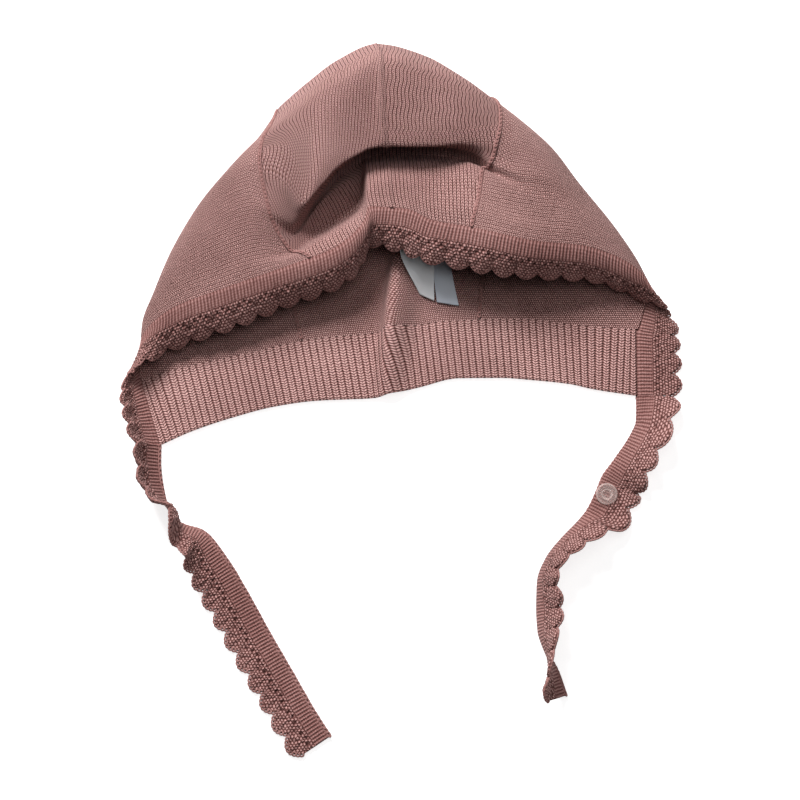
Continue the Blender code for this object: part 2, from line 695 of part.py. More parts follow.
def turned(name, profile, segments, colour, roughness):
    """A solid turned about the snap's axis from a profile of radii and heights."""
    mesh = bpy.data.meshes.new(name)
    corners = [(radius, 0, height) for radius, height in profile]
    mesh.from_pydata(corners, [(i, i + 1) for i in range(len(corners) - 1)], [])
    obj = bpy.data.objects.new(name, mesh)
    spin = obj.modifiers.new("turn", "SCREW")
    spin.steps = spin.render_steps = segments
    spin.use_merge_vertices = True
    spin.merge_threshold = 1e-5
    spin.use_normal_calculate = True
    finish(obj, colour, roughness)
    obj.location = (*SNAP_CENTRE, 0)
    return obj


def applied(obj):
    """The object with its modifiers and its placement carried out."""
    bpy.context.view_layer.update()
    graph = bpy.context.evaluated_depsgraph_get()
    mesh = bpy.data.meshes.new_from_object(obj.evaluated_get(graph))
    mesh.transform(obj.matrix_world)
    obj.modifiers.clear()
    obj.data = mesh
    obj.location = (0, 0, 0)
    return obj


def snap_fastener(strap):
    """A clear press stud: its cap over the tie and its socket under it, joined by a post through a hole."""
    top = 2 * SNAP_THICKNESS + 3 * SNAP_CLEARANCE + EDGING_WALL
    base, under = 0.5 * SNAP_CLEARANCE, SNAP_THICKNESS + 0.5 * SNAP_CLEARANCE
    over = top - SNAP_THICKNESS
    bpy.ops.mesh.primitive_cylinder_add(
        vertices=16, radius=SNAP_POST_RADIUS + SNAP_CLEARANCE, depth=4 * top, location=(*SNAP_CENTRE, top / 2)
    )
    cutter = bpy.context.object
    cut = strap.modifiers.new("bore", "BOOLEAN")
    cut.object = cutter
    cut.operation = "DIFFERENCE"
    applied(strap)
    bpy.data.objects.remove(cutter)
    profile = [
        (0, base),
        (SNAP_SOCKET_RADIUS, base),
        (SNAP_SOCKET_RADIUS, under),
        (SNAP_POST_RADIUS, under),
        (SNAP_POST_RADIUS, over),
        (SNAP_RADIUS, over),
        (SNAP_RADIUS, over + 0.45 * SNAP_THICKNESS),
        (0.86 * SNAP_RADIUS, top),
        (0.55 * SNAP_RADIUS, top),
        (0.48 * SNAP_RADIUS, top - 0.4 * SNAP_THICKNESS),
        (0, top - 0.4 * SNAP_THICKNESS),
    ]
    applied(turned("snap_fastener", profile, 28, CLEAR, 0.25))


def label(name, table, colour):
    """A small label that bends along its length between its root on the back and its free end."""
    rows = np.array(table)
    scale = np.array([HALF_WIDTH, LENGTH, HEIGHT])
    places = np.linspace(0, 1, len(rows))
    along = np.linspace(0, 1, 9)
    left, right = (
        np.stack([hermite(places, rows[:, column], along) for column in columns], -1) * scale
        for columns in ((0, 1, 2), (3, 4, 5))
    )
    across = np.linspace(0, 1, 4)[None, :, None]
    points = left[:, None] * (1 - across) + right[:, None] * across
    down, side = np.gradient(points, axis=0), np.gradient(points, axis=1)
    normal = unit(np.cross(down, side))
    slab(name, points + normal * LABEL_WALL / 2, points - normal * LABEL_WALL / 2, colour, 0.6)


def centre_on_base():
    """Moves the whole model so that its origin is the middle of its box, at the bottom."""
    corners = np.array([vertex.co for obj in PARTS.objects for vertex in obj.data.vertices])
    low, high = corners.min(0), corners.max(0)
    shift = mathutils.Vector((-(low[0] + high[0]) / 2, -(low[1] + high[1]) / 2, -low[2]))
    for obj in PARTS.objects:
        obj.data.transform(mathutils.Matrix.Translation(shift))


for old in list(bpy.data.objects):
    bpy.data.objects.remove(old)
SNAP_CENTRE = np.array([SNAP_X * HALF_WIDTH, SNAP_Y * LENGTH])
PARTS = bpy.data.collections.new("baby_bonnet")
bpy.context.scene.collection.children.link(PARTS)
centre_panel()
side_panel("side_panel_left", True)
side_panel("side_panel_right", False)
neck_band()
front_edging()
tie("strap_left", LEFT_TIE, -1)
snap_fastener(tie("strap_right", RIGHT_TIE, 1))
label("care_label", CARE_LABEL, LABEL_WHITE)
label("size_label", SIZE_LABEL, LABEL_GREY)
centre_on_base()
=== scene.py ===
"""Looks of the knitted baby bonnet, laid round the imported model: knit, edging, ties, stud and labels."""

import math
from collections import namedtuple

import bpy
import numpy as np
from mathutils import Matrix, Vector


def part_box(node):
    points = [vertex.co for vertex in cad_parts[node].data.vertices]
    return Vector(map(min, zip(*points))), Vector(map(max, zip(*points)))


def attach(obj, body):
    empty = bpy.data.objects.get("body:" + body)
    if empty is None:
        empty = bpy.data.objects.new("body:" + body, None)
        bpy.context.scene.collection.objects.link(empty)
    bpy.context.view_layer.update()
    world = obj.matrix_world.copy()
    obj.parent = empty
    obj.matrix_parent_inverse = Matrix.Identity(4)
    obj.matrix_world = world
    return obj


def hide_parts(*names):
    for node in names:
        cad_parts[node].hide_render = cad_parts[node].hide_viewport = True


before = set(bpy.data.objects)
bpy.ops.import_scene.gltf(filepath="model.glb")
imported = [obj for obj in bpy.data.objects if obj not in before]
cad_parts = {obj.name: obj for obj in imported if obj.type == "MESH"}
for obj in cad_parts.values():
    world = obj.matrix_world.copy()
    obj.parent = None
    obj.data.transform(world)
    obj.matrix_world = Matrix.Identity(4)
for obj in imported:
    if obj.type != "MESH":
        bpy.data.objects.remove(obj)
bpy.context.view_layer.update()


# Driving sizes, in metres
HALF_WIDTH = 0.1325  # from the middle of the hollow to a side fold
LENGTH = 0.1765  # from near the crown point to the middle of the neck edge
HEIGHT = 0.042  # from the surface to the top of the hollow
FOLD_HEIGHT = 0.0105  # middle of a side fold above the surface
WALL = 0.0020  # knitted wall
SETTLING = 0.0004  # how far the lower sheet flattens onto the surface
BAND_WALL = 0.0018  # ribbed wall, between one rib and the next
HEM_GAP = 0.0007  # between a panel and the edging
FLOOR_GAP = 0.0002  # between the edging and the surface under it

EDGING_WIDTH = 0.0161  # from the hem line to the notches between the scallops
SMOOTHING = 5  # how many times the line of the edging is evened out
SCALLOP_DEPTH = 0.0051
SCALLOP_PITCH = 0.0115
SCALLOP_FULLNESS = 0.75  # below 1 a scallop is rounder, above 1 more pointed
EDGING_WALL = 0.0020
RIBS = 70
RIB_RELIEF = 0.0007
BAND_INSET = 0.0004  # share of the band's width left at each end

SNAP_X, SNAP_Y = 0.772, -0.283  # shares, as in the tables
SNAP_RADIUS = 0.0054
SNAP_THICKNESS = 0.0011
SNAP_CLEARANCE = 0.0003
SNAP_REACH = 0.013  # how far the tie stays raised round the snap
LABEL_WALL = 0.0004

# Edge curves seen from above: x as a share of HALF_WIDTH, y as a share of LENGTH
CROWN_LINE = [
    (-0.462, 0.838), (-0.340, 0.914), (-0.236, 0.972), (-0.096, 1.014), (0.100, 0.978),
    (0.206, 0.926), (0.283, 0.879), (0.340, 0.844),
]
LEFT_FOLD = [
    (-0.462, 0.838), (-0.562, 0.711), (-0.668, 0.626), (-0.762, 0.541), (-0.830, 0.456),
    (-0.887, 0.371), (-0.932, 0.286), (-0.970, 0.201), (-0.975, 0.160),
]
RIGHT_FOLD = [
    (0.340, 0.844), (0.490, 0.752), (0.608, 0.669), (0.694, 0.584), (0.777, 0.499),
    (0.857, 0.414), (0.913, 0.351), (0.947, 0.300),
]
FRONT_HEM = [
    (-0.975, 0.160), (-0.925, 0.196), (-0.853, 0.232), (-0.653, 0.286), (-0.426, 0.343),
    (-0.226, 0.402), (-0.136, 0.470), (-0.115, 0.510), (0.023, 0.501), (0.121, 0.467),
    (0.264, 0.445), (0.528, 0.405), (0.672, 0.401), (0.785, 0.382), (0.872, 0.354),
    (0.922, 0.326), (0.947, 0.300),
]
# Far edge of the lower sheet. Between its places BAND_LEFT and BAND_RIGHT it is the top of the neck band.
LOWER_EDGE = [
    (-0.975, 0.160), (-0.988, 0.108), (-0.977, 0.042), (-0.864, 0.071), (-0.592, 0.119),
    (-0.317, 0.164), (-0.094, 0.180), (0.189, 0.215), (0.468, 0.221), (0.642, 0.205),
    (0.894, 0.190), (0.922, 0.240), (0.947, 0.300),
]
BAND_LEFT, BAND_RIGHT = 2, 10
NECK_EDGE = [
    (-0.902, -0.142), (-0.785, -0.102), (-0.630, -0.062), (-0.475, -0.031), (-0.317, -0.014),
    (-0.091, -0.006), (0.075, 0.025), (0.223, 0.051), (0.377, 0.052), (0.509, 0.045),
    (0.642, 0.034), (0.725, 0.020), (0.894, 0.000),
]


def columns(kind, *rows):
    """A table as one tuple of named columns."""
    return kind(*np.array(rows, float).T)


# Heights of the upper sheet, from the crown line to the face opening, as shares of HEIGHT
Rise = namedtuple("Rise", "at left_side left crease right right_side")
UPPER_RISES = columns(
    Rise,
    (0.00, 0.70, 0.80, 0.90, 0.85, 0.70),
    (0.20, 0.72, 0.86, 1.00, 0.92, 0.80),
    (0.40, 0.72, 0.84, 1.02, 0.92, 0.84),
    (0.60, 0.70, 0.76, 0.92, 0.90, 0.84),
    (0.80, 0.66, 0.68, 0.80, 0.88, 0.82),
    (1.00, 0.58, 0.62, 0.72, 0.84, 0.74),
)
RISE_PLACES = (0.0, 0.25, 0.47, 0.75, 1.0)

# Height of the side folds, as a share of FOLD_HEIGHT
Edge = namedtuple("Edge", "at left right")
FOLD_RISES = columns(
    Edge,
    (0.0, 0.75, 0.75),
    (0.3, 1.00, 1.00),
    (0.8, 1.05, 1.05),
    (1.0, 0.90, 0.85),
)

# The pleat in the back: its middle as shares of HALF_WIDTH and LENGTH, the turn of its own line in degrees,
# half length and half width as shares of HALF_WIDTH, lift and push as shares of HEIGHT. It leans over along
# its push, which points to the left of its line.
Fold = namedtuple("Fold", "x y turn half_length half_width lift push")
PLEAT = Fold(0.005, 0.250, 84.0, 0.34, 0.042, 0.21, 0.10)

# The roll of the crown over the middle, at places across the upper sheet: its lip's y as a share of LENGTH
# and height as a share of HEIGHT, how far the cloth goes back under the lip as a share of LENGTH, heights of
# the fold's floor and of the tongue that comes out from under it, and how much the roll holds there
Roll = namedtuple("Roll", "at lip lip_rise under floor tongue hold")
ROLL = columns(
    Roll,
    (0.120, 0.520, 0.60, -0.120, 0.58, 0.54, 0.0),
    (0.200, 0.520, 0.64, -0.110, 0.58, 0.56, 0.15),
    (0.250, 0.515, 0.66, -0.085, 0.53, 0.54, 0.50),
    (0.290, 0.502, 0.69, -0.045, 0.42, 0.50, 0.90),
    (0.335, 0.566, 0.74, -0.005, 0.20, 0.34, 1.0),
    (0.380, 0.622, 0.78, 0.020, 0.14, 0.28, 1.0),
    (0.420, 0.648, 0.80, 0.032, 0.13, 0.28, 1.0),
    (0.446, 0.660, 0.82, 0.034, 0.14, 0.36, 1.0),
    (0.472, 0.668, 0.84, 0.036, 0.17, 0.66, 1.0),
    (0.520, 0.674, 0.87, 0.036, 0.22, 0.72, 1.0),
    (0.580, 0.672, 0.87, 0.034, 0.26, 0.72, 1.0),
    (0.640, 0.674, 0.85, 0.020, 0.36, 0.73, 1.0),
    (0.695, 0.680, 0.82, -0.012, 0.48, 0.74, 0.95),
    (0.750, 0.680, 0.77, -0.050, 0.61, 0.75, 0.65),
    (0.820, 0.662, 0.70, -0.080, 0.64, 0.76, 0.18),
    (0.900, 0.640, 0.60, -0.100, 0.60, 0.66, 0.0),
)

# Seams of the centre panel: share across the sheet at its far edge, and how soon it leaves the side fold
UPPER_SEAM_LEFT = 0.330
UPPER_SEAM_RIGHT = 0.342
LOWER_SEAM_LEFT = 0.355
LOWER_SEAM_RIGHT = 0.340
UPPER_SEAM_LEFT_POWER = 0.85
UPPER_SEAM_RIGHT_POWER = 0.62
LOWER_SEAM_POWER = 0.42

# How square the section of the hollow is, and how soon the upper sheet rises from the crown line
UPPER_ROUNDNESS = 2.3
LOWER_ROUNDNESS = 4.0
CROWN_TURN = 0.28

# The roll's path as shares of the way from its start to the opening, where it starts and how soon it takes
# hold, the crest's height over the lip as a share of HEIGHT and its place as a share of the way back to the
# start, and how far the tongue comes out and how wide the floor is as shares of LENGTH
ROLL_KNOTS = (0.0, 0.27, 0.42, 0.51, 0.59, 0.655, 0.76, 0.86, 0.94, 1.0)
ROLL_START = 0.18
ROLL_BLEND = 0.20
ROLL_CREST = 0.06
ROLL_CREST_BACK = 0.15
ROLL_TONGUE = 0.037
ROLL_TURN = 0.018

# Ties: x and y of the plain edge as above, roll of the scalloped edge in degrees from lying flat, and curl of
# the section in degrees. At 90 degrees the scalloped edge stands straight above the plain edge.
LEFT_TIE = [
    (-0.902, -0.142, 57, -50), (-0.902, -0.193, 58, -50), (-0.894, -0.249, 62, -40),
    (-0.879, -0.303, 76, 0), (-0.862, -0.331, 94, 50), (-0.838, -0.358, 84, 70),
    (-0.800, -0.372, 48, 50), (-0.743, -0.385, 44, 20), (-0.645, -0.465, 12, 0),
    (-0.574, -0.550, 0, 0), (-0.487, -0.666, 0, 0), (-0.390, -0.790, 0, 0),
    (-0.308, -0.895, 0, 0), (-0.255, -0.955, 0, 0),
]
RIGHT_TIE = [
    (0.894, 0.000, 0, 0), (0.890, -0.071, 30, 0), (0.872, -0.105, 36, 0),
    (0.811, -0.176, 26, 0), (0.758, -0.235, 0, 0), (0.727, -0.290, 0, 0),
    (0.705, -0.320, 12, 5), (0.679, -0.346, 46, 20), (0.592, -0.416, 62, 30),
    (0.543, -0.467, 68, 30), (0.513, -0.527, 66, 30), (0.508, -0.606, 56, 30),
    (0.512, -0.663, 62, 30), (0.540, -0.722, 80, 30), (0.577, -0.771, 105, 30),
    (0.612, -0.844, 130, 20),
]

# Labels: x and y as above and z as a share of HEIGHT, on the left side of a label and then on its right side
CARE_LABEL = [
    (0.060, 0.482, 0.162, 0.150, 0.462, 0.143),
    (0.000, 0.405, 0.330, 0.128, 0.388, 0.260),
    (0.076, 0.290, 0.080, 0.130, 0.272, 0.070),
]
SIZE_LABEL = [
    (0.095, 0.468, 0.119, 0.180, 0.455, 0.100),
    (0.120, 0.376, 0.195, 0.194, 0.362, 0.160),
    (0.140, 0.268, 0.069, 0.223, 0.258, 0.066),
]

# Edging from one neck corner to the other: place along the face opening (below 0 and above 1 it follows the
# edge of the lower sheet and the end of the band), which way the edging leaves it, seen from above in degrees
# from +X and above the horizontal, how far its section curls over in degrees, and its width as a share, less
# where it is gathered
Spread = namedtuple("Spread", "at heading lift curl width")
EDGING_SPREAD = columns(
    Spread,
    (-1.00, 178, 57, -50, 1.0), (-0.75, 198, 57, -50, 0.95), (-0.50, 226, 50, -40, 0.76),
    (-0.25, 246, 34, -30, 0.62), (0.000, 256, 10, 0, 0.70), (0.040, 260, -10, 25, 0.9),
    (0.076, 268, -28, 50, 1.0), (0.174, 277, -28, 45, 1.0), (0.283, 276, -38, 65, 1.0),
    (0.382, 278, -40, 65, 1.0), (0.441, 268, -42, 65, 1.0), (0.473, 264, -42, 65, 1.0),
    (0.540, 260, -28, 50, 1.0), (0.591, 252, -28, 50, 1.0), (0.658, 260, -28, 50, 1.0),
    (0.782, 261, -44, 70, 1.0), (0.848, 266, -48, 75, 1.0), (0.901, 271, -54, 80, 1.0),
    (0.943, 278, -54, 80, 1.0), (0.965, 288, -46, 60, 0.85), (0.985, 304, -34, 40, 0.65),
    (1.000, 318, -22, 20, 0.50), (1.120, 330, -4, 10, 0.52), (1.300, 342, 0, 10, 0.75),
    (1.500, 350, 0, 10, 0.95), (1.750, 358, 0, 0, 1.0), (2.000, 360, 0, 0, 1.0),
)


def read(table, column, at):
    """One column of a table, read as a smooth curve at the places given."""
    return hermite(table.at, getattr(table, column), at)


def slopes(step, values):
    """Slopes of a curve at its knots, flat where it turns, so that it doesn't overshoot."""
    chord = np.diff(values, axis=0) / step
    slope = np.zeros_like(values)
    slope[0], slope[-1] = chord[0], chord[-1]
    before, after = 2 * step[1:] + step[:-1], step[1:] + 2 * step[:-1]
    steady = chord[:-1] * chord[1:] > 0
    safe = np.where(steady, chord[:-1], 1), np.where(steady, chord[1:], 1)
    slope[1:-1] = np.where(steady, (before + after) / (before / safe[0] + after / safe[1]), 0)
    return slope


def hermite(x, y, at):
    """Cubic curve through the points (x, y) with slopes that don't overshoot."""
    at = np.clip(at, x[0], x[-1])
    step = np.diff(x)
    slope = slopes(step, y)
    i = np.clip(np.searchsorted(x, at, side="right") - 1, 0, len(step) - 1)
    t = (at - x[i]) / step[i]
    return (
        y[i] * (1 + 2 * t) * (1 - t) ** 2
        + slope[i] * step[i] * t * (1 - t) ** 2
        + y[i + 1] * t**2 * (3 - 2 * t)
        + slope[i + 1] * step[i] * t**2 * (t - 1)
    )


def arc_length(points):
    steps = np.linalg.norm(np.diff(points, axis=0), axis=-1)
    return np.concatenate([[0], np.cumsum(steps)])


def places(rows):
    """Each row's share of the length of its curve, and the rows in metres."""
    points = np.array(rows) * (HALF_WIDTH, LENGTH)
    length = arc_length(points)
    return length / length[-1], points


def plan(rows, at):
    """A table's curve seen from above, in metres."""
    share, points = places(rows)
    return np.stack([hermite(share, points[:, column], at) for column in (0, 1)], -1)


def spanned(near, far, across, along):
    """The sheet between two edges and the two side folds, seen from above."""
    u, t = across[..., None], along[..., None]
    corners = [plan(rows, np.array([0.0, 1.0])) for rows in (near, far)]
    return (
        (1 - t) * plan(near, across)
        + t * plan(far, across)
        + (1 - u) * plan(LEFT_FOLD, along)
        + u * plan(RIGHT_FOLD, along)
        - (1 - t) * ((1 - u) * corners[0][0] + u * corners[0][1])
        - t * ((1 - u) * corners[1][0] + u * corners[1][1])
    )


def arch(share, roundness):
    """0 at both ends and 1 in the middle, upright at the ends."""
    return np.clip(1 - np.abs(2 * share - 1) ** roundness, 0, 1) ** (1 / roundness)


def pleated(points):
    """The points lifted and pushed over by the pleat in the back."""
    moved = points.copy()
    turn = math.radians(PLEAT.turn)
    line = np.array([math.cos(turn), math.sin(turn)])
    side = np.array([-math.sin(turn), math.cos(turn)])
    offset = points[..., :2] - np.array([PLEAT.x * HALF_WIDTH, PLEAT.y * LENGTH])
    reach = (offset @ line / PLEAT.half_length) ** 2 + (offset @ side / PLEAT.half_width) ** 2
    strength = np.exp(-reach / HALF_WIDTH**2) * HEIGHT
    moved[..., :2] += (PLEAT.push * strength)[..., None] * side
    moved[..., 2] += PLEAT.lift * strength
    return moved


def fold_rise(across, along):
    left = read(FOLD_RISES, "left", along)
    right = read(FOLD_RISES, "right", along)
    return FOLD_HEIGHT * ((1 - across) * left + across * right)


def rise(across, along):
    """Height of the upper sheet as a share of HEIGHT, before its folds."""
    total = 0
    for index, name in enumerate(Rise._fields[1:]):
        only = np.zeros(len(RISE_PLACES))
        only[index] = 1
        share = hermite(np.array(RISE_PLACES), only, across)
        total = total + share * read(UPPER_RISES, name, along)
    return total


def upper(across, along):
    """Outer face of the upper sheet, from the left fold to the right and from the crown to the opening."""
    flat = spanned(CROWN_LINE, FRONT_HEM, across, along)
    edge = fold_rise(across, along) - SETTLING
    crown = np.sqrt(np.clip(1 - (1 - np.clip(along / CROWN_TURN, 0, 1)) ** 2, 0, 1))
    height = edge + (rise(across, along) * HEIGHT - edge) * arch(across, UPPER_ROUNDNESS) * crown
    return rolled(np.concatenate([flat, height[..., None]], -1), across, along)


def rolled(points, across, along):
    """The upper sheet with the crown rolled over the middle: each line from the crown to the opening goes
    over the roll to its lip, back under it, along the floor of the fold and out again over the tongue."""
    held = [read(ROLL, column, across) for column in Roll._fields[1:]]
    lip, lip_rise, under, floor, tongue, hold = held
    ones = np.ones_like(across)
    far = spanned(CROWN_LINE, FRONT_HEM, across, ROLL_START * ones)[..., 1] / LENGTH
    near = plan(FRONT_HEM, across)[..., 1] / LENGTH
    rises = [rise(across, place * ones) for place in (ROLL_START, 1.0)]
    front = np.minimum(lip, lip + under) - ROLL_TONGUE
    path = [far, lip + ROLL_CREST_BACK * (far - lip), lip, lip + 0.6 * under, lip + under]
    path += [lip + under - ROLL_TURN, front, (front + near) / 2, near + 0.2 * (front - near), near]
    heights = [rises[0], lip_rise + ROLL_CREST, lip_rise, (lip_rise + floor) / 2]
    heights += [floor + ROLL_TURN * LENGTH / HEIGHT, floor, floor + 0.7 * (tongue - floor)]
    heights += [tongue, tongue + 0.85 * (rises[1] - tongue), rises[1]]
    share = np.clip((along - ROLL_START) / (1 - ROLL_START), 0, 1)
    y, z = (knotted(np.stack(values), share) for values in (path, heights))
    on = hold * np.clip((along - ROLL_START) / ROLL_BLEND, 0, 1)
    points[..., 1] += on * (y * LENGTH - points[..., 1])
    points[..., 2] += on * (z * HEIGHT - points[..., 2])
    return points


def knotted(values, share):
    """A smooth curve through values at ROLL_KNOTS, each place with values of its own."""
    knots = np.array(ROLL_KNOTS)
    step = np.diff(knots).reshape(-1, *[1] * share.ndim)
    slope = slopes(step, values)
    index = np.clip(np.searchsorted(knots, share, side="right") - 1, 0, len(knots) - 2)
    start, after, lean, lean_after = (
        np.take_along_axis(rows, (index + shift)[None], 0)[0]
        for rows, shift in ((values, 0), (values, 1), (slope, 0), (slope, 1))
    )
    width = np.diff(knots)[index]
    t = (share - knots[index]) / width
    rising, falling = t**2 * (3 - 2 * t), (1 + 2 * t) * (1 - t) ** 2
    leaning = lean * t * (1 - t) ** 2 + lean_after * t**2 * (t - 1)
    return start * falling + after * rising + width * leaning


def resting(across, along):
    """The lower sheet before its folds, from the crown to its far edge."""
    flat = spanned(CROWN_LINE, LOWER_EDGE, across, along)
    crown = np.clip(1 - (1 - np.clip(along / CROWN_TURN * 2, 0, 1)) ** LOWER_ROUNDNESS, 0, 1)
    height = fold_rise(across, along) * (1 - arch(across, LOWER_ROUNDNESS) * crown)
    return np.concatenate([flat, np.maximum(height - SETTLING, 0)[..., None]], -1)


def lower(across, along):
    """Outer face of the lower sheet, which lies on the surface."""
    return pleated(resting(across, along))


def band(across, down):
    """Outer face of the neck band, from its seam with the panels down to the neck edge."""
    left, right = places(LOWER_EDGE)[0][[BAND_LEFT, BAND_RIGHT]]
    start = resting(left + (right - left) * across, np.ones_like(across))
    end = np.concatenate([plan(NECK_EDGE, across), np.zeros_like(across)[..., None]], -1)
    return pleated(start + (end - start) * down[..., None])


def outward(surface, across, along):
    """Unit normals of a surface, from its own slopes."""
    step = 0.005

    def moved(by_across, by_along):
        return surface(np.clip(across + by_across, 0, 1), np.clip(along + by_along, 0, 1))

    slope_across = moved(step, 0) - moved(-step, 0)
    slope_along = moved(0, step) - moved(0, -step)
    normal = np.cross(slope_along, slope_across) * (1 if surface is upper else -1)
    return normal / np.maximum(np.linalg.norm(normal, axis=-1, keepdims=True), 1e-12)


def upper_seams(along):
    left = UPPER_SEAM_LEFT * along**UPPER_SEAM_LEFT_POWER
    return left, 1 - UPPER_SEAM_RIGHT * along**UPPER_SEAM_RIGHT_POWER


def lower_seams(along):
    return LOWER_SEAM_LEFT * along**LOWER_SEAM_POWER, 1 - LOWER_SEAM_RIGHT * along**LOWER_SEAM_POWER


def hem_line(at):
    """The line that the edging follows, and the outward normals of the sheets along it."""
    band_left, band_right = places(LOWER_EDGE)[0][[BAND_LEFT, BAND_RIGHT]]
    stretches = (
        (at < -0.5, band, 0.0 * at, -2 * at - 1),
        ((at >= -0.5) & (at < 0), lower, -2 * at * band_left, 0 * at + 1),
        ((at >= 0) & (at <= 1), upper, at, 0 * at + 1),
        ((at > 1) & (at <= 1.5), lower, 1 - 2 * (at - 1) * (1 - band_right), 0 * at + 1),
        (at > 1.5, band, 0 * at + 1, 2 * at - 3),
    )
    points, normals = np.zeros((2, len(at), 3))
    for on, surface, across, along in stretches:
        points[on] = surface(across[on], along[on])
        normals[on] = outward(surface, across[on], along[on])
    return points, normals


SECTION_KNOTS = (0, 0.4, 0.75, 1.0)  # corners of a ribbon's section, from its plain edge out


def bell(value, middle, width):
    """1 in the middle and almost 0 at twice the width from it."""
    return np.exp(-(((value - middle) / width) ** 2))


def paired(first, second):
    return np.stack(np.broadcast_arrays(first, second), -1)


def unit(vectors):
    return vectors / np.maximum(np.linalg.norm(vectors, axis=-1, keepdims=True), 1e-12)


def directions(heading, lift):
    heading, lift = np.radians(heading), np.radians(lift)
    return np.stack([np.cos(heading) * np.cos(lift), np.sin(heading) * np.cos(lift), np.sin(lift)], -1)


def ribbon_points(base, heading, lift, curl, width):
    """Points across a ribbon, from its plain edge out. Its section curls down about its mean direction."""
    shares = np.array(SECTION_KNOTS)
    middle = (shares[1:] + shares[:-1]) / 2
    turn = lift[:, None] + curl[:, None] * (0.5 - middle)
    steps = directions(heading[:, None] + 0 * turn, turn) * (np.diff(shares) * width[:, None])[..., None]
    return base[:, None] + np.concatenate([0 * steps[:, :1], np.cumsum(steps, 1)], 1)


def faces_of(points):
    """Unit normals of a grid of points, upward where the ribbon lies flat."""
    return unit(np.cross(np.gradient(points, axis=1), np.gradient(points, axis=0)))


def lowest(points, normals):
    """Height of each section's lowest point."""
    return (points[..., 2] - np.abs(normals[..., 2]) * EDGING_WALL / 2).min(1, keepdims=True)


# Fineness of the dressed sheets, and how their edges end
MM = 0.001
PANEL_CUTS = 110
PANEL_ROWS_ABOVE, PANEL_ROWS_BELOW = 200, 110
SIDE_CUTS, SIDE_CUTS_BELOW, SIDE_CUTS_ALONG = 100, 60, 170
BAND_CUTS_A_RIB, BAND_CUTS_DOWN = 10, 34
LACE_PITCH = 0.00029
LACE_ROWS = 30
ROOT_DEPTH = 0.0005  # how far the edging's root goes into the hem
ROOT_REACH = 0.2  # how soon the edging leaves it, as a share of its width
HEM_SAMPLES = 11  # columns between two measured distances from the hem

CORNER = 0.004  # where the side panels start, as a share of the way from the crown to the far edge
CREASE_FROM, CREASE_TO = 0.465, 0.515  # the centre fold of the crown, as shares across the sheet
CREASE_RISE = 0.0026
CREASE_WIDTH = 0.0010
UNEVENNESS, PATCH = 0.0007, 0.045  # height and size of the soft unevenness of the cloth
CHAIN_PITCH, RIM_PITCH, SELVEDGE_PITCH = 0.0021, 0.0018, 0.0024
CHAIN_LIFT = 0.0003
LOOP_FLOOR = 0.0006  # lowest middle of a loop on the surface

# The edging's knitting, outwards from its plain edge: ribs, then garter loops up to the scallops. Pitch and
# relief of the ribs and of the rolled edge are in metres, places in millimetres, and tones are shares of the
# lightest yarn, where low tones get painted shade and high ones a painted highlight.
Lace = namedtuple(
    "Lace", "rib_pitch rib_relief ribs_from ribs_to edge_roll loops_from loops_to tone_to rib_tone base_tone"
)
EDGING_LACE = Lace(0.00175, 0.00022, 0.8, 7.0, 0.00030, 7.6, 12.6, 7.6, 0.38, 0.22)
TIE_LACE = Lace(0.00165, 0.00018, 2.2, 8.6, 0.0, 8.8, 13.2, 9.0, 0.40, 0.17)
KNOT_RELIEF, PETAL_RELIEF, RIM_RELIEF = 0.00045, 0.00030, 0.0005
PETALS = 8.0  # rays in a full turn about a scallop's middle
RIM_STITCH = 0.0019
# Eyelets: place along the scallop as a share of its pitch, and millimetres out from the first garter loops
EYELETS = ((0.0, 4.6), (0.25, 2.9), (-0.25, 2.9), (0.5, 1.2))
EYELET_SIZE, EYELET_DEPTH = 0.75, 0.0008


def eased(count):
    """Shares from 0 to 1, closer together at the ends."""
    return 0.5 - 0.5 * np.cos(np.pi * np.linspace(0, 1, count))


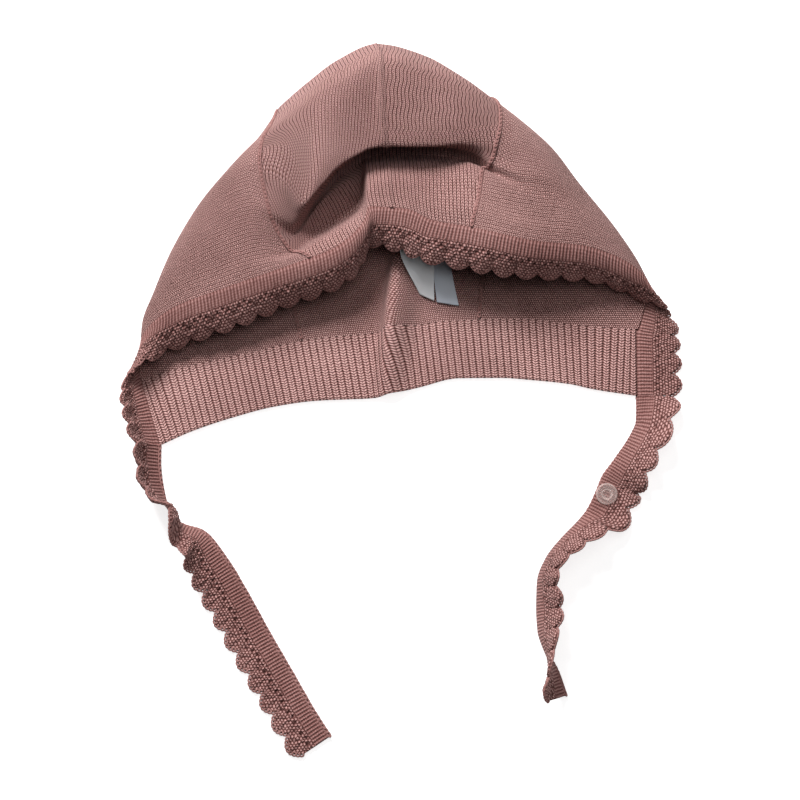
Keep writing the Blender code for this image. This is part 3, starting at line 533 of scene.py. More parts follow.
def closed_sheet(name, outer, inner, flat, finishes, hollow=None, second=None):
    """A cloth wall between two grids of points. flat is its place in millimetres on the knitting, for the
    materials. second is another such place, and the column from which it holds."""
    rows, columns = outer.shape[:2]
    cells = np.arange((rows - 1) * (columns - 1))
    row, column = np.divmod(cells, columns - 1)
    corner = row * columns + column
    quads = np.stack([corner, corner + 1, corner + columns + 1, corner + columns], -1)
    ring = np.concatenate([
        np.arange(columns),
        np.arange(2, rows) * columns - 1,
        np.arange(rows * columns - 1, (rows - 1) * columns - 1, -1),
        np.arange((rows - 2) * columns, 0, -columns),
    ])
    half = rows * columns
    after = np.roll(ring, -1)
    rim = np.stack([ring, ring + half, after + half, after], -1)
    faces = np.concatenate([quads, quads[:, ::-1] + half, rim])
    points = put(np.concatenate([outer.reshape(-1, 3), inner.reshape(-1, 3)]))
    fan = points[faces]
    halves = ((fan[:, 0], fan[:, k], fan[:, k + 1]) for k in (1, 2))
    volume = sum((np.cross(first, second_corner) * third).sum() for first, second_corner, third in halves)
    if volume < 0:
        faces = faces[:, ::-1]
    mesh = bpy.data.meshes.new(name)
    mesh.from_pydata(points.tolist(), [], faces.tolist())
    place = np.tile(flat.reshape(-1, 2), (2, 1))[faces.reshape(-1)]
    if second is not None:
        other, start = second
        late = np.zeros(len(faces), bool)
        late[: 2 * len(quads)] = np.tile(column >= start, 2)
        late[2 * len(quads):] = (ring % columns >= start)
        other = np.tile(other.reshape(-1, 2), (2, 1))[faces.reshape(-1)]
        late = np.repeat(late, 4)
        place[late] = other[late]
    layer = mesh.uv_layers.new(name="knitting")
    layer.data.foreach_set("uv", place.astype(np.float32).reshape(-1))
    if hollow is not None:
        depth = mesh.attributes.new("eyelet", "FLOAT", "POINT")
        depth.data.foreach_set("value", np.tile(hollow.reshape(-1), 2).astype(np.float32))
    for finish in finishes:
        mesh.materials.append(finish)
    index = np.zeros(len(faces), np.int32)
    index[len(quads): 2 * len(quads)] = len(finishes) - 1
    mesh.polygons.foreach_set("material_index", index)
    mesh.shade_smooth()
    return placed(name, mesh)


def placed(name, data):
    """A new object in the scene."""
    thing = bpy.data.objects.new(name, data)
    bpy.context.scene.collection.objects.link(thing)
    return thing


def stand_for(piece, node):
    """The piece rides the body in place of the solid of that name."""
    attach(piece, "root")
    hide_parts(node)
    return piece


def put(points):
    """Points of the shape functions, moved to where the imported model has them."""
    return points + SHIFT


def across_lengths(points, middle):
    """Signed distance in millimetres along each row of points, from one column."""
    steps = np.linalg.norm(np.diff(points, axis=1), axis=-1)
    length = np.concatenate([np.zeros((len(points), 1)), np.cumsum(steps, 1)], 1)
    return (length - length[:, middle:middle + 1]) / MM


def along_lengths(points, column):
    """Distance in millimetres down one column of points."""
    return arc_length(points[:, column])[:, None] / MM


def grain(points, size, seed):
    """Soft unevenness of the hand-laid cloth, from a few crossed waves."""
    rng = np.random.default_rng(seed)
    total = 0
    for _ in range(7):
        turn = rng.uniform(0, 2 * math.pi)
        wave = rng.uniform(0.6, 1.6) * 2 * math.pi / size
        run = points[..., 0] * math.cos(turn) + points[..., 1] * math.sin(turn)
        total = total + np.sin(wave * run + rng.uniform(0, 7))
    return total / 7


def crease(surface, across, along, points):
    """How far the centre fold of the crown stands up at each place."""
    if surface is not upper:
        return np.zeros(points.shape[:2])
    share = CREASE_FROM + (CREASE_TO - CREASE_FROM) * np.clip(along / 0.5, 0, 1)
    start = upper(share + 0 * across, along)
    away = np.linalg.norm(points - start, axis=-1) / CREASE_WIDTH
    fade = np.clip((0.5 - along) / 0.1, 0, 1)
    return CREASE_RISE * np.exp(-(away**2)) * (0.35 + 0.65 * fade) * np.clip((along - 0.02) / 0.10, 0, 1)


def dress_panel(surface, across, along):
    """Outer and inner face of a panel."""
    across, along = np.broadcast_arrays(np.asarray(across, float), np.asarray(along, float))
    outer = surface(across, along)
    normal = outward(surface, across, along)
    extra = crease(surface, across, along, outer)
    if surface is upper:
        soft = np.clip(along / 0.1, 0, 1) * np.clip((1 - along) / 0.05, 0, 1)
        extra = extra + UNEVENNESS * grain(outer, PATCH, 5) * soft
    return outer + normal * extra[..., None], outer - normal * WALL


def centre_panel():
    """The strip from the face opening over the crown and down the back, in one sheet."""
    shares = np.linspace(0, 1, PANEL_CUTS)
    grids = []
    for surface, alongs, seams in (
        (upper, 1 - eased(PANEL_ROWS_ABOVE), upper_seams),
        (lower, eased(PANEL_ROWS_BELOW)[1:], lower_seams),
    ):
        along = alongs[:, None]
        left, right = seams(along)
        across = left + (right - left) * shares
        grids.append(dress_panel(surface, across, along))
    outer, inner = (np.concatenate(pair) for pair in zip(*grids))
    middle = PANEL_CUTS // 2
    flat = paired(across_lengths(outer, middle), along_lengths(outer, middle))
    piece = closed_sheet("centre_panel_knit", outer, inner, flat, (KNIT_CENTRE, KNIT_INSIDE))
    return stand_for(piece, "centre_panel")


def side_panel(name, left_side):
    """One side panel, round the side fold from the upper seam to the lower one."""
    along = (CORNER + (1 - CORNER) * eased(SIDE_CUTS_ALONG))[:, None]
    both = upper_seams(along), lower_seams(along)
    top, bottom = (left if left_side else 1 - right for left, right in both)
    above_fold = top * np.linspace(1, 0, SIDE_CUTS) ** 1.5
    under_fold = bottom * np.linspace(0, 1, SIDE_CUTS_BELOW)[1:] ** 1.5
    if not left_side:
        above_fold, under_fold = 1 - above_fold, 1 - under_fold
    grids = [dress_panel(upper, above_fold, along), dress_panel(lower, under_fold, along)]
    outer, inner = (np.concatenate(pair, axis=1) for pair in zip(*grids))
    # Wales run along the face opening on the upper sheet and towards the crown on the lower one
    measured = np.arange(0, SIDE_CUTS, HEM_SAMPLES)
    from_hem = np.concatenate([along_lengths(outer, column) for column in measured], 1)
    from_hem = from_hem[-1:] - from_hem
    hem = np.stack([np.interp(np.arange(outer.shape[1]), measured, row) for row in from_hem])
    flat = np.stack([hem, across_lengths(outer, 0)], -1)
    below = outer[..., :2] / MM, SIDE_CUTS
    piece = closed_sheet(name + "_knit", outer, inner, flat, (KNIT_SIDE, KNIT_INSIDE), second=below)
    return stand_for(piece, name)


def neck_band():
    """The ribbed band. Its ribs stand out on the side that is seen."""
    count = RIBS * BAND_CUTS_A_RIB
    across = np.linspace(BAND_INSET, 1 - BAND_INSET, count + 1)
    down = np.linspace(0, 1, BAND_CUTS_DOWN)[:, None]
    across, down = np.broadcast_arrays(across, down)
    outer = band(across, down)
    normal = outward(band, across, down)
    turn = np.arange(count + 1) / BAND_CUTS_A_RIB * 2 * math.pi
    rib = np.abs(np.sin(turn / 2))[None, :] ** 1.2
    flat = paired(across * RIBS, along_lengths(outer, count // 2))
    hem = bell(down, 1, 0.05)
    relief = 0.7 * RIB_RELIEF * (rib - 0.35) * (1 - 0.6 * hem) + 0.00025 * hem
    seen = outer - normal * (BAND_WALL + relief[..., None] * 0.7)
    return stand_for(closed_sheet("neck_band_rib", outer, seen, flat, (RIB_KNIT,)), "neck_band")


def lace(length, out, reach, kind):
    """Relief of the edging in metres and its eyelets, by length along it and distance from its plain edge."""
    length, out = np.broadcast_arrays(length, out)
    step = length / SCALLOP_PITCH
    lobe = step - np.floor(step) - 0.5
    mm = out / MM
    bands = window(mm, kind.ribs_from, kind.ribs_to, 0.8)
    ribs = kind.rib_relief * np.cos(2 * math.pi * length / kind.rib_pitch) * bands
    ribs = ribs + kind.edge_roll * bell(mm, 0.5, 0.5)
    start, stop = kind.loops_from, kind.loops_to
    knots = np.cos(2 * math.pi * length / (SCALLOP_PITCH / 4)) * np.cos(math.pi * (mm - start) / 2.1)
    knots = KNOT_RELIEF * knots * window(mm, start, stop, 0.9)
    angle = np.arctan2(lobe * SCALLOP_PITCH / MM, mm - stop + 1.2)
    spread = np.hypot(lobe * SCALLOP_PITCH / MM, mm - stop + 1.2)
    petals = PETAL_RELIEF * np.cos(angle * PETALS) * window(mm, stop, 30, 0.7) * np.clip(spread / 2.0, 0, 1)
    edge = (EDGING_WIDTH + reach - out) / MM
    rim = RIM_RELIEF * bell(edge, 0.7, 0.7) * (1 + 0.5 * np.cos(2 * math.pi * length / RIM_STITCH))
    holes = 0
    for at, far in EYELETS:
        along = (step - at - np.round(step - at)) * SCALLOP_PITCH / MM
        holes = holes + np.exp(-((along / EYELET_SIZE) ** 2) - (((mm - (start + far)) / EYELET_SIZE) ** 2))
    holes = np.clip(holes, 0, 1)
    return ribs + knots + petals + rim - EYELET_DEPTH * holes, holes


def window(value, start, stop, soft):
    """1 between two places and 0 outside them, with soft ends."""
    rise_in = np.clip((value - start) / soft + 0.5, 0, 1)
    fall_out = np.clip((stop - value) / soft + 0.5, 0, 1)
    return rise_in * rise_in * (3 - 2 * rise_in) * fall_out * fall_out * (3 - 2 * fall_out)


def fine_line(line, start, stop):
    """Places along a line, a lace pitch apart and in whole scallops, and their length along it."""
    fine = np.linspace(start, stop, 4001)
    length = arc_length(line(fine))
    whole = round(length[-1] / SCALLOP_PITCH)
    count = round(length[-1] / LACE_PITCH / whole) * whole
    at = np.interp(np.linspace(0, length[-1], count + 1), length, fine)
    return at, np.linspace(0, whole * SCALLOP_PITCH, count + 1)


def scallops(length):
    """How far the scallops reach past their notches."""
    return SCALLOP_DEPTH * np.abs(np.sin(math.pi * length / SCALLOP_PITCH)) ** SCALLOP_FULLNESS


def lace_sheet(node, base, heading, lift, curl, width, length, kind, finish, root=None):
    """A knitted edging that leaves its base line and carries its own relief on both faces."""
    shares = np.linspace(0, 1, LACE_ROWS)
    reach = scallops(length)
    coarse = ribbon_points(base, heading, lift, curl, width * EDGING_WIDTH + reach)
    points = np.stack([smooth_section(coarse, share) for share in shares], 1)
    out = shares[None, :] * (EDGING_WIDTH + reach)[:, None]
    relief, holes = lace(length[:, None], out, reach[:, None], kind)
    normals = faces_of(points)
    thin = np.clip(shares * LACE_ROWS / 2, 0.5, 1) * np.clip((1 - shares) * LACE_ROWS / 2, 0.25, 1)
    half = (EDGING_WALL / 2 * thin[None, :] * 0.8)[..., None]
    relief = relief[..., None] * thin[None, :, None]
    points[..., 2] += np.maximum(FLOOR_GAP - lowest(points, normals), 0)
    if root is not None:
        hold = np.clip(1 - shares / ROOT_REACH, 0, 1) ** 2
        points = points + (root - points[:, 0])[:, None] * hold[None, :, None]
    flat = paired(length[:, None] / MM, out / MM)
    top, bottom = points + normals * (half + relief), points - normals * (half + relief * 0.6)
    for face in (top, bottom):
        face[..., 2] = np.maximum(face[..., 2], 0)
    stand_for(closed_sheet(node + "_lace", top, bottom, flat, (finish,), hollow=holes), node)
    return points, normals


def smooth_section(coarse, share):
    """A point of each section, on a cubic through the section's corners."""
    total = 0
    for index, at in enumerate(SECTION_KNOTS):
        weight = 1.0
        for other in SECTION_KNOTS:
            if other != at:
                weight *= (share - other) / (at - other)
        total = total + weight * coarse[:, index]
    return total


def front_edging():
    """The edging along the face opening. Its base line is evened out on coarse places, then read finely."""
    fine = np.linspace(-1, 2, 2001)
    run = arc_length(hem_line(fine)[0])
    cuts = 4 * round(run[-1] / SCALLOP_PITCH)
    at = np.interp(np.linspace(0, run[-1], cuts + 1), run, fine)
    spread = [read(EDGING_SPREAD, column, at) for column in Spread._fields[1:]]
    heading, lift, curl = spread[:3]
    rim, normals = hem_line(at)
    beyond = unit(np.cross(normals, unit(np.gradient(rim, axis=0))))
    first = directions(heading, lift + curl / 2)
    beyond *= np.sign((beyond * first).sum(-1, keepdims=True))
    gap = HEM_GAP + EDGING_WALL / 2 * np.abs((first * normals).sum(-1, keepdims=True))
    middle = rim - normals * WALL / 2
    base = middle + beyond * gap
    for _ in range(SMOOTHING):
        base[1:-1] = (base[:-2] + 2 * base[1:-1] + base[2:]) / 4
        base += beyond * np.maximum(gap - ((base - middle) * beyond).sum(-1, keepdims=True), 0)
    count = round(run[-1] / LACE_PITCH)
    spots = np.linspace(0, cuts, count + 1)
    knots = np.arange(cuts + 1, dtype=float)
    base = np.stack([hermite(knots, base[:, k], spots) for k in range(3)], -1)
    rim, normals = hem_line(np.interp(spots, knots, at))
    inward = unit(np.cross(normals, unit(np.gradient(rim, axis=0))))
    inward = inward * -np.sign((inward * (base - rim)).sum(-1, keepdims=True))
    root = rim - normals * ROOT_DEPTH + inward * ROOT_DEPTH
    spread = [hermite(knots, value, spots) for value in spread]
    return lace_sheet("front_edging", base, *spread, spots / 4 * SCALLOP_PITCH, EDGING_LACE, LACE_KNIT, root)


def evened(values, reach):
    """Values along a line, each the soft mean of its neighbours."""
    weights = np.hanning(2 * reach + 1)
    return np.convolve(np.pad(values, reach, mode="edge"), weights / weights.sum(), "valid")


def tie(node, table, scallop_side):
    """One tie, lifted off the surface where it turns over and where the stud sits."""
    rows = np.array(table) * (HALF_WIDTH, LENGTH, 1, 1)
    place = arc_length(rows[:, :2])

    def line(at):
        return np.stack([hermite(place, rows[:, column], at) for column in (0, 1)], -1)

    at, length = fine_line(line, -0.0004, place[-1])
    plain = line(at)
    travel = np.degrees(np.unwrap(np.arctan2(*np.gradient(plain, axis=0)[:, ::-1].T)))
    heading = evened(travel, 20) + 90 * scallop_side
    roll, curl = (hermite(place, rows[:, column], at) for column in (2, 3))
    base = np.concatenate([plain, np.zeros((len(at), 1))], 1)
    points = ribbon_points(base, heading, roll, curl, EDGING_WIDTH + scallops(length))
    drop = evened(lowest(points, faces_of(points))[:, 0], 40)
    away = np.linalg.norm(points[:, 1, :2] * 0.5 + points[:, 2, :2] * 0.5 - SNAP_CENTRE, axis=-1) / SNAP_REACH
    base[:, 2] = (SNAP_THICKNESS + 1.5 * SNAP_CLEARANCE) * np.exp(-(away**4)) - drop
    return lace_sheet(node, base, heading, roll, curl, 1.0 + 0 * roll, length, TIE_LACE, TIE_KNIT)


class Wire:
    """A value in a material's nodes: sums written on it add Math nodes."""

    def __init__(self, paint, socket):
        self.paint = paint
        self.socket = socket

    def math(self, operation, *others, first=None):
        values = [self if first is None else first, *others]
        return self.paint.node("ShaderNodeMath", {"operation": operation}, *values)

    def __rsub__(self, other):
        return self.math("SUBTRACT", self, first=other)

    def wave(self):
        """From -1 to 1 over each stitch."""
        return self.math("FRACT") * 2.0 - 1.0


def sum_method(operation):
    """A method that adds one Math node."""
    return lambda wire, other: wire.math(operation, other)


for sign, operation in (
    ("__add__", "ADD"),
    ("__radd__", "ADD"),
    ("__sub__", "SUBTRACT"),
    ("__mul__", "MULTIPLY"),
    ("__rmul__", "MULTIPLY"),
    ("__truediv__", "DIVIDE"),
    ("__pow__", "POWER"),
):
    setattr(Wire, sign, sum_method(operation))


class Paint:
    """A material and the ways to add its nodes."""

    def __init__(self, name):
        self.material = bpy.data.materials.new(name)
        self.material.use_nodes = True
        self.tree = self.material.node_tree
        self.shader = self.tree.nodes["Principled BSDF"]

    def node(self, kind, settings=None, *values, out=0, **named):
        node = self.tree.nodes.new(kind)
        for key, value in (settings or {}).items():
            setattr(node, key, value)
        for key, value in [*enumerate(values), *named.items()]:
            socket = node.inputs[key if isinstance(key, int) else key.replace("_", " ")]
            self.join(value, socket)
        return Wire(self, node.outputs[out])

    def join(self, value, socket):
        if isinstance(value, Wire):
            self.tree.links.new(value.socket, socket)
        elif value is not None:
            socket.default_value = value

    def set(self, **named):
        for key, value in named.items():
            self.join(value, self.shader.inputs[key.replace("_", " ")])

    def place(self):
        """The piece's own knitting coordinates, in millimetres."""
        knitting = self.node("ShaderNodeUVMap", {"uv_map": "knitting"})
        split = self.node("ShaderNodeSeparateXYZ", None, knitting)
        return tuple(Wire(self, socket) for socket in split.socket.node.outputs[:2])

    def noise(self, scale, detail):
        place = self.node("ShaderNodeTexCoord", out=3)
        return self.node("ShaderNodeTexNoise", None, Vector=place, Scale=scale, Detail=detail)

    def ramp(self, value, stops):
        node = self.tree.nodes.new("ShaderNodeValToRGB")
        marks = node.color_ramp.elements
        while len(marks) < len(stops):
            marks.new(0.5)
        for element, (at, colour) in zip(marks, stops):
            element.position = at
            element.color = colour
        self.join(value, node.inputs[0])
        return Wire(self, node.outputs[0])

    def bump(self, height, strength, distance):
        named = {"Strength": strength, "Distance": distance, "Height": height}
        self.set(Normal=self.node("ShaderNodeBump", None, **named))


# Yarn colours from painted shade in the depth of the knit to a painted highlight on its tops, and scales of
# the noises in it
# The two darkest colours are painted shade and the lightest is a painted highlight; YARN is the yarn's own
# colour
DEEP_SHADE = (0.045, 0.017, 0.015, 1.0)
SHADE = (0.160, 0.062, 0.054, 1.0)
YARN = (0.310, 0.155, 0.142, 1.0)
STITCH_HIGHLIGHT = (0.720, 0.440, 0.410, 1.0)
YARN_TONES = [(0.20, DEEP_SHADE), (0.39, SHADE), (0.57, YARN), (0.84, STITCH_HIGHLIGHT)]
SHEEN = (0.95, 0.72, 0.68, 1.0)
PATCH_SCALE, FUZZ_SCALE, TWIST_SCALE = 22.0, 2600.0, 650.0
THREAD_SCALE = 620.0
GARTER_STITCH = 1.5  # millimetres
STUD_SHADE, STUD_LIGHT = (0.50, 0.34, 0.31, 1.0), (0.78, 0.62, 0.58, 1.0)
WHITE_TAPE = (0.90, 0.92, 0.94, 1.0), (0.74, 0.77, 0.80, 1.0), 0.6  # colour, shade and roughness
GREY_TAPE = (0.62, 0.66, 0.73, 1.0), (0.45, 0.49, 0.56, 1.0), 0.4
TABLE_COLOUR, TABLE_GLOW = (0.60, 0.60, 0.60, 1.0), 1.3


def finish_yarn(paint, height, strength, distance):
    """Yarn colour by how far a place stands out of the knit: painted shade where it is low and a painted
    highlight where it stands out, with soft patches and fuzz.
    """
    patches = paint.noise(PATCH_SCALE, 3.0)
    fuzz = paint.noise(FUZZ_SCALE, 3.0)
    # The height paints shade into the low places of the knit and a highlight on its tops
    tone = height * 0.72 + patches * 0.24 + fuzz * 0.16 - 0.07
    paint.set(Base_Color=paint.ramp(tone, YARN_TONES), Roughness=0.92, Specular_IOR_Level=0.2)
    paint.set(Sheen_Weight=0.12, Sheen_Roughness=0.45, Sheen_Tint=SHEEN)
    paint.bump(height + fuzz * 0.25, strength, distance)
    return paint.material


def stitches(across, along, wale, course, border, beads):
    """Height of plain knitting from 0 to 1: columns of V stitches, a wale wide and a course high."""
    place = (across / wale).wave()
    side = place.math("ABSOLUTE")
    leg = side * 2.0 - 1.0
    slant = (along / course + side * 0.9).wave()
    return (1.0 - side ** 4.0 * border) * (1.0 - leg * leg * 0.45) * (1.0 - slant * slant * beads)


def hand_worked(paint):
    """Knitting coordinates that waver a little, as yarn does."""
    across, along = paint.place()
    drift, twist = paint.noise(90.0, 1.0) * 0.5, paint.noise(TWIST_SCALE, 1.0) * 0.7
    return across + drift + twist, along + drift * 0.6 + twist * 0.8


def knit_finish(name, wale, course, border, beads):
    paint = Paint(name)
    across, along = hand_worked(paint)
    return finish_yarn(paint, stitches(across, along, wale, course, border, beads), 0.8, 0.0008)


def inside_finish():
    """The reverse of the knitting: rows of small bumps."""
    paint = Paint("knit_reverse")
    across, along = hand_worked(paint)
    row = along / 1.0
    shift = row.math("FLOOR") * 0.4
    bead = (across / 1.1 + shift).wave()
    line = row.wave()
    height = (1.0 - line * line * 0.75) * (1.0 - bead * bead * 0.8)
    return finish_yarn(paint, height, 0.7, 0.0007)


def rib_finish():
    """Columns of stitches in pairs, with a ragged groove between one pair and the next, painted dark as
    shade.
    """
    paint = Paint("rib_knit")
    rib, along = paint.place()
    twist = paint.noise(TWIST_SCALE, 1.0)
    side = (rib + twist * 0.14).wave().math("ABSOLUTE")
    row = (along / 1.35 + side * 0.7 + twist * 0.4).wave()
    bead = 1.0 - row * row
    leg = side * 2.0 - 0.9
    # The groove is painted dark, as shade between the ribs
    groove = (side * (1.14 - bead * 0.26)).math("MINIMUM", 1.0) ** 5.0
    height = (0.35 + bead * 0.65) * (1.0 - leg * leg * 0.4) * (1.0 - groove * 0.58)
    return finish_yarn(paint, height, 0.8, 0.0009)


def lace_finish(name, kind):
    """Ribs beside the plain edge, then garter loops and eyelets."""
    paint = Paint(name)
    along, out = paint.place()
    twist = paint.noise(TWIST_SCALE, 1.0) * 0.7 - 0.35
    drift = paint.noise(260.0, 1.0) * 1.6 - 0.8
    past = (out - kind.loops_from).math("MAXIMUM", 0.0).math("MINIMUM", 1.0)
    along, out = along + twist + drift * past, out + twist + drift * past * 0.8
    rib = ((along * (2 * math.pi / (kind.rib_pitch / MM))).math("COSINE") * 0.5 + 0.5) ** 0.6
    near = ((kind.tone_to - out) * 1.2).math("MINIMUM", 1.0).math("MAXIMUM", 0.0)
    row = (out * (2 * math.pi / 1.2)).math("COSINE") * 0.5 + 0.5
    bead = (along / GARTER_STITCH + (out / GARTER_STITCH).math("FLOOR") * 0.5).wave()
    line = (out / GARTER_STITCH).wave()
    garter = (1.0 - bead * bead) * (1.0 - line * line)
    smooth = rib * kind.rib_tone + row * 0.12 + kind.base_tone
    height = near * smooth + (1.0 - near) * (garter * 0.75 + 0.12)
    # Eyelets are painted darker, as shade in their holes
    eyelet = paint.node("ShaderNodeAttribute", {"attribute_name": "eyelet"}, out=2)
    return finish_yarn(paint, height * (1.0 - eyelet * 0.6), 0.7, 0.0006)


def woven_finish(name, colour, shade, roughness):
    """Woven tape, from its fine threads both ways."""
    paint = Paint(name)
    place = paint.node("ShaderNodeTexCoord", out=3)
    threads, weft = (
        paint.node("ShaderNodeTexWave", {"bands_direction": way}, Vector=place, Scale=THREAD_SCALE)
        for way in "XY"
    )
    tone = threads * 0.2 + weft * 0.2 + paint.noise(60.0, 2.0) * 0.6
    paint.set(Base_Color=paint.ramp(tone, [(0.2, shade), (0.75, colour)]), Roughness=roughness)
    paint.bump(threads + weft, 0.25, 0.0001)
    return paint.material


def clear_finish():
    """Clear plastic, denser at the stud's rim and at the ring round its middle."""
    paint = Paint("clear_press_stud")
    scratches = paint.noise(900.0, 4.0)
    inside_stud = paint.node("ShaderNodeTexCoord", out=3)
    middle = (stud_middle.x, stud_middle.y, stud_high.z)
    out = paint.node("ShaderNodeVectorMath", {"operation": "DISTANCE"}, inside_stud, middle, out=1)
    out = out / SNAP_RADIUS
    rings = 0.0
    for ring, width in ((0.93, 0.12), (0.50, 0.10)):
        away = ((out - ring) / width).math("ABSOLUTE").math("MINIMUM", 1.0)
        rings = (1.0 - away) + rings
    colour = paint.ramp(scratches + rings * 0.3, [(0.3, STUD_SHADE), (0.8, STUD_LIGHT)])
    paint.set(Base_Color=colour, Roughness=scratches * 0.12 + 0.1, IOR=1.49, Coat_Weight=0.5)
    paint.set(Transmission_Weight=0.3, Alpha=rings * 0.35 + 0.25)
    return paint.material


def plain_finish(name, colour, glow):
    """One colour, with a little light of its own."""
    paint = Paint(name)
    paint.set(Base_Color=colour, Roughness=0.95, Emission_Color=colour, Emission_Strength=glow)
    paint.set(Specular_IOR_Level=0.1)
    return paint.material


def loops_tree(link, finish):
    """Geometry nodes that set a loop of yarn on every point, along the line and off the cloth."""
    tree = bpy.data.node_groups.new("loops_of_yarn", "GeometryNodeTree")
    tree.interface.new_socket("Geometry", in_out="INPUT", socket_type="NodeSocketGeometry")
    size = tree.interface.new_socket("Size", in_out="INPUT", socket_type="NodeSocketFloat")
    tree.interface.new_socket("Geometry", in_out="OUTPUT", socket_type="NodeSocketGeometry")

    def node(kind, settings=None, **named):
        made = tree.nodes.new(kind)
        for key, value in (settings or {}).items():
            setattr(made, key, value)
        for key, value in named.items():
            socket = made.inputs[key.replace("_", " ")]
            if isinstance(value, bpy.types.NodeSocket):
                tree.links.new(value, socket)
            else:
                socket.default_value = value
        return made

    def attribute(name):
        made = node("GeometryNodeInputNamedAttribute", {"data_type": "FLOAT_VECTOR"}, Name=name)
        return made.outputs["Attribute"]

    start = tree.nodes.new("NodeGroupInput")
    end = tree.nodes.new("NodeGroupOutput")
    shape = node("GeometryNodeObjectInfo", None, Object=link).outputs["Geometry"]
    up = node("FunctionNodeAlignRotationToVector", {"axis": "Z"}, Vector=attribute("off"))
    turn = node(
        "FunctionNodeAlignRotationToVector", {"axis": "X", "pivot_axis": "Z"},
        Rotation=up.outputs[0], Vector=attribute("along"),
    )
    set_out = node(
        "GeometryNodeInstanceOnPoints", None, Points=start.outputs["Geometry"], Instance=shape,
        Rotation=turn.outputs[0], Scale=start.outputs["Size"],
    )
    real = node("GeometryNodeRealizeInstances", None, Geometry=set_out.outputs[0])
    set_finish = node("GeometryNodeSetMaterial", None, Geometry=real.outputs[0], Material=finish)
    tree.links.new(set_finish.outputs[0], end.inputs[0])
    return tree, size.identifier


def yarn_loop(name, length, width, thick, bends, arch_up=0.0003, sides=6):
    """A closed loop of yarn, lying along X and bowed upwards."""
    turn = np.linspace(0, 2 * math.pi, bends, endpoint=False)
    path = np.stack([np.cos(turn) * length / 2, np.sin(turn) * width / 2, arch_up * np.cos(turn) ** 2], -1)
    ahead = unit(np.roll(path, -1, 0) - np.roll(path, 1, 0))
    side = unit(np.cross(ahead, [0, 0, 1.0]))
    up = np.cross(side, ahead)
    round_turn = np.linspace(0, 2 * math.pi, sides, endpoint=False)[None, :, None]
    points = path[:, None] + thick * (side[:, None] * np.cos(round_turn) + up[:, None] * np.sin(round_turn))
    index = np.arange(bends * sides).reshape(bends, sides)
    after, beside = np.roll(index, -1, 0), np.roll(index, -1, 1)
    faces = np.stack([index, beside, np.roll(after, -1, 1), after], -1).reshape(-1, 4)
    mesh = bpy.data.meshes.new(name)
    mesh.from_pydata(points.reshape(-1, 3).tolist(), [], faces.tolist())
    mesh.shade_smooth()
    return bpy.data.objects.new(name, mesh)


def loops(name, link, points, along, off, finish):
    """One piece of yarn loops, set out by geometry nodes."""
    mesh = bpy.data.meshes.new(name)
    mesh.from_pydata(points.tolist(), [], [])
    for key, value in (("along", along), ("off", off)):
        layer = mesh.attributes.new(key, "FLOAT_VECTOR", "POINT")
        layer.data.foreach_set("vector", value.astype(np.float32).reshape(-1))
    piece = placed(name, mesh)
    tree, size = loops_tree(link, finish)
    modifier = piece.modifiers.new("loops", "NODES")
    modifier.node_group = tree
    modifier[size] = 1.0
    bpy.context.view_layer.update()
    graph = bpy.context.evaluated_depsgraph_get()
    made = bpy.data.meshes.new_from_object(piece.evaluated_get(graph))
    made.name = name
    piece.modifiers.clear()
    piece.data = made
    made.shade_smooth()
    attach(piece, "root")


def spaced(points, *others, pitch):
    """Points a pitch apart along a line, with other values read at the same places."""
    length = arc_length(points)
    count = max(int(length[-1] / pitch), 1)
    at = (np.arange(count) + 0.5) * length[-1] / count
    values = (points, *others)
    return [np.stack([np.interp(at, length, value[:, k]) for k in range(3)], -1) for value in values]


def seam_chain(name, surface, seams, side, start, stop):
    """The chain of stitches on one seam."""
    along = np.linspace(start, stop, 400)
    share = seams(along)[side]
    points = surface(share, along)
    off = outward(surface, share, along)
    if surface is not upper:
        points, off = points - off * WALL, -off
    points = points + off * CHAIN_LIFT
    points, ahead, off = spaced(put(points), unit(np.gradient(points, axis=0)), off, pitch=CHAIN_PITCH)
    loops(name, chain_link, points, ahead, off, CHAIN_YARN)


def edge_chain(name, made, node, link, inner, outer, share, lift, pitch):
    """Loops of yarn on an edging's rim or plain edge, on a line between two columns of its points."""
    points, normals = made
    off = normals[:, -1 if inner == -1 else 1]
    line = points[:, inner] * share + points[:, outer] * (1 - share) + off * lift
    line, ahead, off = spaced(put(line), unit(np.gradient(line, axis=0)), off, pitch=pitch)
    line[:, 2] = np.maximum(line[:, 2], LOOP_FLOOR)
    loops(name, link, line, ahead, off, CHAIN_YARN)


def dressed_label(node, table, finish):
    """A label of thin woven tape, with rounded bends and a folded end."""
    rows = np.array(table)
    scale = np.array([HALF_WIDTH, LENGTH, HEIGHT])
    spots = np.linspace(0, 1, len(rows))
    along = np.linspace(0, 1, 60)
    left, right = (
        np.stack([hermite(spots, rows[:, column], along) for column in columns], -1) * scale
        for columns in ((0, 1, 2), (3, 4, 5))
    )
    across = np.linspace(0, 1, 30)[None, :, None]
    points = left[:, None] * (1 - across) + right[:, None] * across
    normal = unit(np.cross(np.gradient(points, axis=0), np.gradient(points, axis=1)))
    swell = 0.0004 * np.sin(along * 9.0)[:, None, None] * np.sin(across * math.pi)
    edge = np.minimum(across, 1 - across) / 0.06
    half = LABEL_WALL / 2 * (1 + 0.5 * np.exp(-(edge**2)))
    points = points + normal * swell
    flat = paired(across[..., 0] * 10, along[:, None] * 40)
    upper_face, lower_face = points + normal * half, points - normal * half
    stand_for(closed_sheet(node + "_tape", upper_face, lower_face, flat, (finish,)), node)


def table_top():
    """The pale surface, a little under the bonnet."""
    far = TABLE_REACH
    mesh = bpy.data.meshes.new("table_top")
    mesh.from_pydata([(-far, -far, 0), (far, -far, 0), (far, far, 0), (-far, far, 0)], [], [(0, 1, 2, 3)])
    mesh.materials.append(plain_finish("pale_table", TABLE_COLOUR, TABLE_GLOW))
    piece = placed("table_top", mesh)
    piece.location.z = -TABLE_DROP


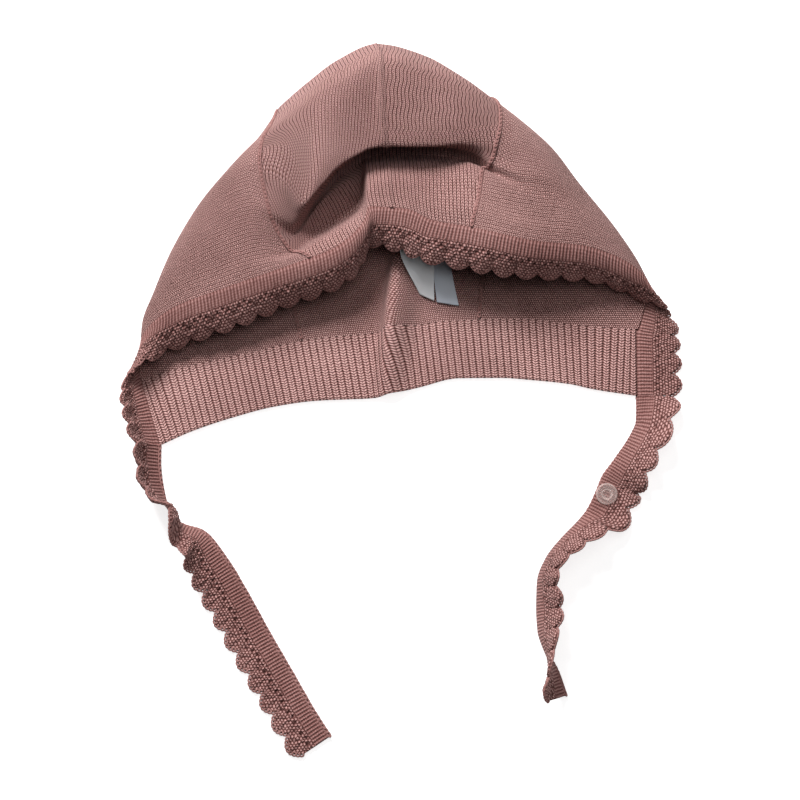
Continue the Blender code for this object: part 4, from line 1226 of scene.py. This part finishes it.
def soft_light(name, place, size, power):
    """A square light that faces the bonnet."""
    light = bpy.data.lights.new(name, "AREA")
    light.size = size
    light.energy = power
    lamp = placed(name, light)
    lamp.location = place
    lamp.rotation_euler = (-Vector(place)).to_track_quat("-Z", "Y").to_euler()


def photograph_view():
    """The camera, looking almost straight down from in front of the ties."""
    steep = math.radians(CAMERA_ELEVATION)
    back = Vector((0, -math.cos(steep), math.sin(steep)))
    lens = bpy.data.cameras.new("camera")
    lens.angle = 2 * math.atan(SEEN_WIDTH / 2 / CAMERA_DISTANCE)
    camera = placed("camera", lens)
    camera.location = Vector(SHIFT) + Vector(AIM) + back * CAMERA_DISTANCE
    camera.rotation_euler = (-back).to_track_quat("-Z", "Y").to_euler()
    bpy.context.scene.camera = camera


# The camera, the lights and the surface
CAMERA_ELEVATION, CAMERA_DISTANCE = 80.0, 1.2
SEEN_WIDTH = 0.400
AIM = (0, -0.002, 0)
TABLE_REACH, TABLE_DROP = 6.0, 0.0003
WORLD_STRENGTH = 0.04

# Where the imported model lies, read from its press stud
SNAP_CENTRE = np.array([SNAP_X * HALF_WIDTH, SNAP_Y * LENGTH])
stud_low, stud_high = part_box("snap_fastener")
stud_middle = (stud_low + stud_high) / 2
SHIFT = np.array([
    stud_middle.x - SNAP_CENTRE[0],
    stud_middle.y - SNAP_CENTRE[1],
    stud_low.z - SNAP_CLEARANCE / 2,
])

KNIT_CENTRE = knit_finish("plain_knit_centre", wale=1.9, course=1.1, border=0.9, beads=0.65)
KNIT_SIDE = knit_finish("plain_knit_side", wale=1.9, course=1.05, border=0.45, beads=0.8)
KNIT_INSIDE = inside_finish()
RIB_KNIT = rib_finish()
LACE_KNIT = lace_finish("lace_knit", EDGING_LACE)
TIE_KNIT = lace_finish("tie_knit", TIE_LACE)
chain_paint = Paint("chain_yarn")
chain_height = chain_paint.noise(1500.0, 2.0) * 0.6 + 0.28
CHAIN_YARN = finish_yarn(chain_paint, chain_height, strength=0.5, distance=0.0002)

centre_panel()
side_panel("side_panel_left", True)
side_panel("side_panel_right", False)
neck_band()
edging = front_edging()
left_tie = tie("strap_left", LEFT_TIE, -1)
right_tie = tie("strap_right", RIGHT_TIE, 1)

chain_link = yarn_loop("chain_link", length=0.0030, width=0.0012, thick=0.00045, bends=14)
bead_link = yarn_loop("bead_link", length=0.0021, width=0.0018, thick=0.0005, bends=10)
# Link, the two columns, the share of the first, the lift off the cloth and the pitch
RIM = bead_link, -1, -2, 0.6, 0.0003, RIM_PITCH
SELVEDGE = chain_link, 0, 1, 0.5, 0.0005, SELVEDGE_PITCH
edge_chain("edging_rim_loops", edging, "front_edging", *RIM)
edge_chain("left_tie_rim_loops", left_tie, "strap_left", *RIM)
edge_chain("right_tie_rim_loops", right_tie, "strap_right", *RIM)
edge_chain("left_tie_selvedge", left_tie, "strap_left", *SELVEDGE)
edge_chain("right_tie_selvedge", right_tie, "strap_right", *SELVEDGE)
seam_chain("upper_left_seam", upper, upper_seams, 0, 0.05, 0.995)
seam_chain("upper_right_seam", upper, upper_seams, 1, 0.06, 0.995)
seam_chain("lower_left_seam", lower, lower_seams, 0, 0.10, 0.99)
seam_chain("lower_right_seam", lower, lower_seams, 1, 0.10, 0.99)
dressed_label("care_label", CARE_LABEL, woven_finish("white_tape", *WHITE_TAPE))
dressed_label("size_label", SIZE_LABEL, woven_finish("grey_tape", *GREY_TAPE))
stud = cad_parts["snap_fastener"]
stud.data.materials.clear()
stud.data.materials.append(clear_finish())

table_top()
soft_light("window", (-0.50, 1.15, 1.15), size=0.6, power=44.0)
soft_light("fill", (0.25, 0.25, 1.7), size=1.2, power=8.5)
world = bpy.data.worlds.new("studio")
bpy.context.scene.world = world
world.use_nodes = True
sky = world.node_tree.nodes["Background"]
sky.inputs[0].default_value = (1.0, 1.0, 1.0, 1.0)
sky.inputs[1].default_value = WORLD_STRENGTH
bpy.context.scene.view_settings.view_transform = "Standard"
photograph_view()
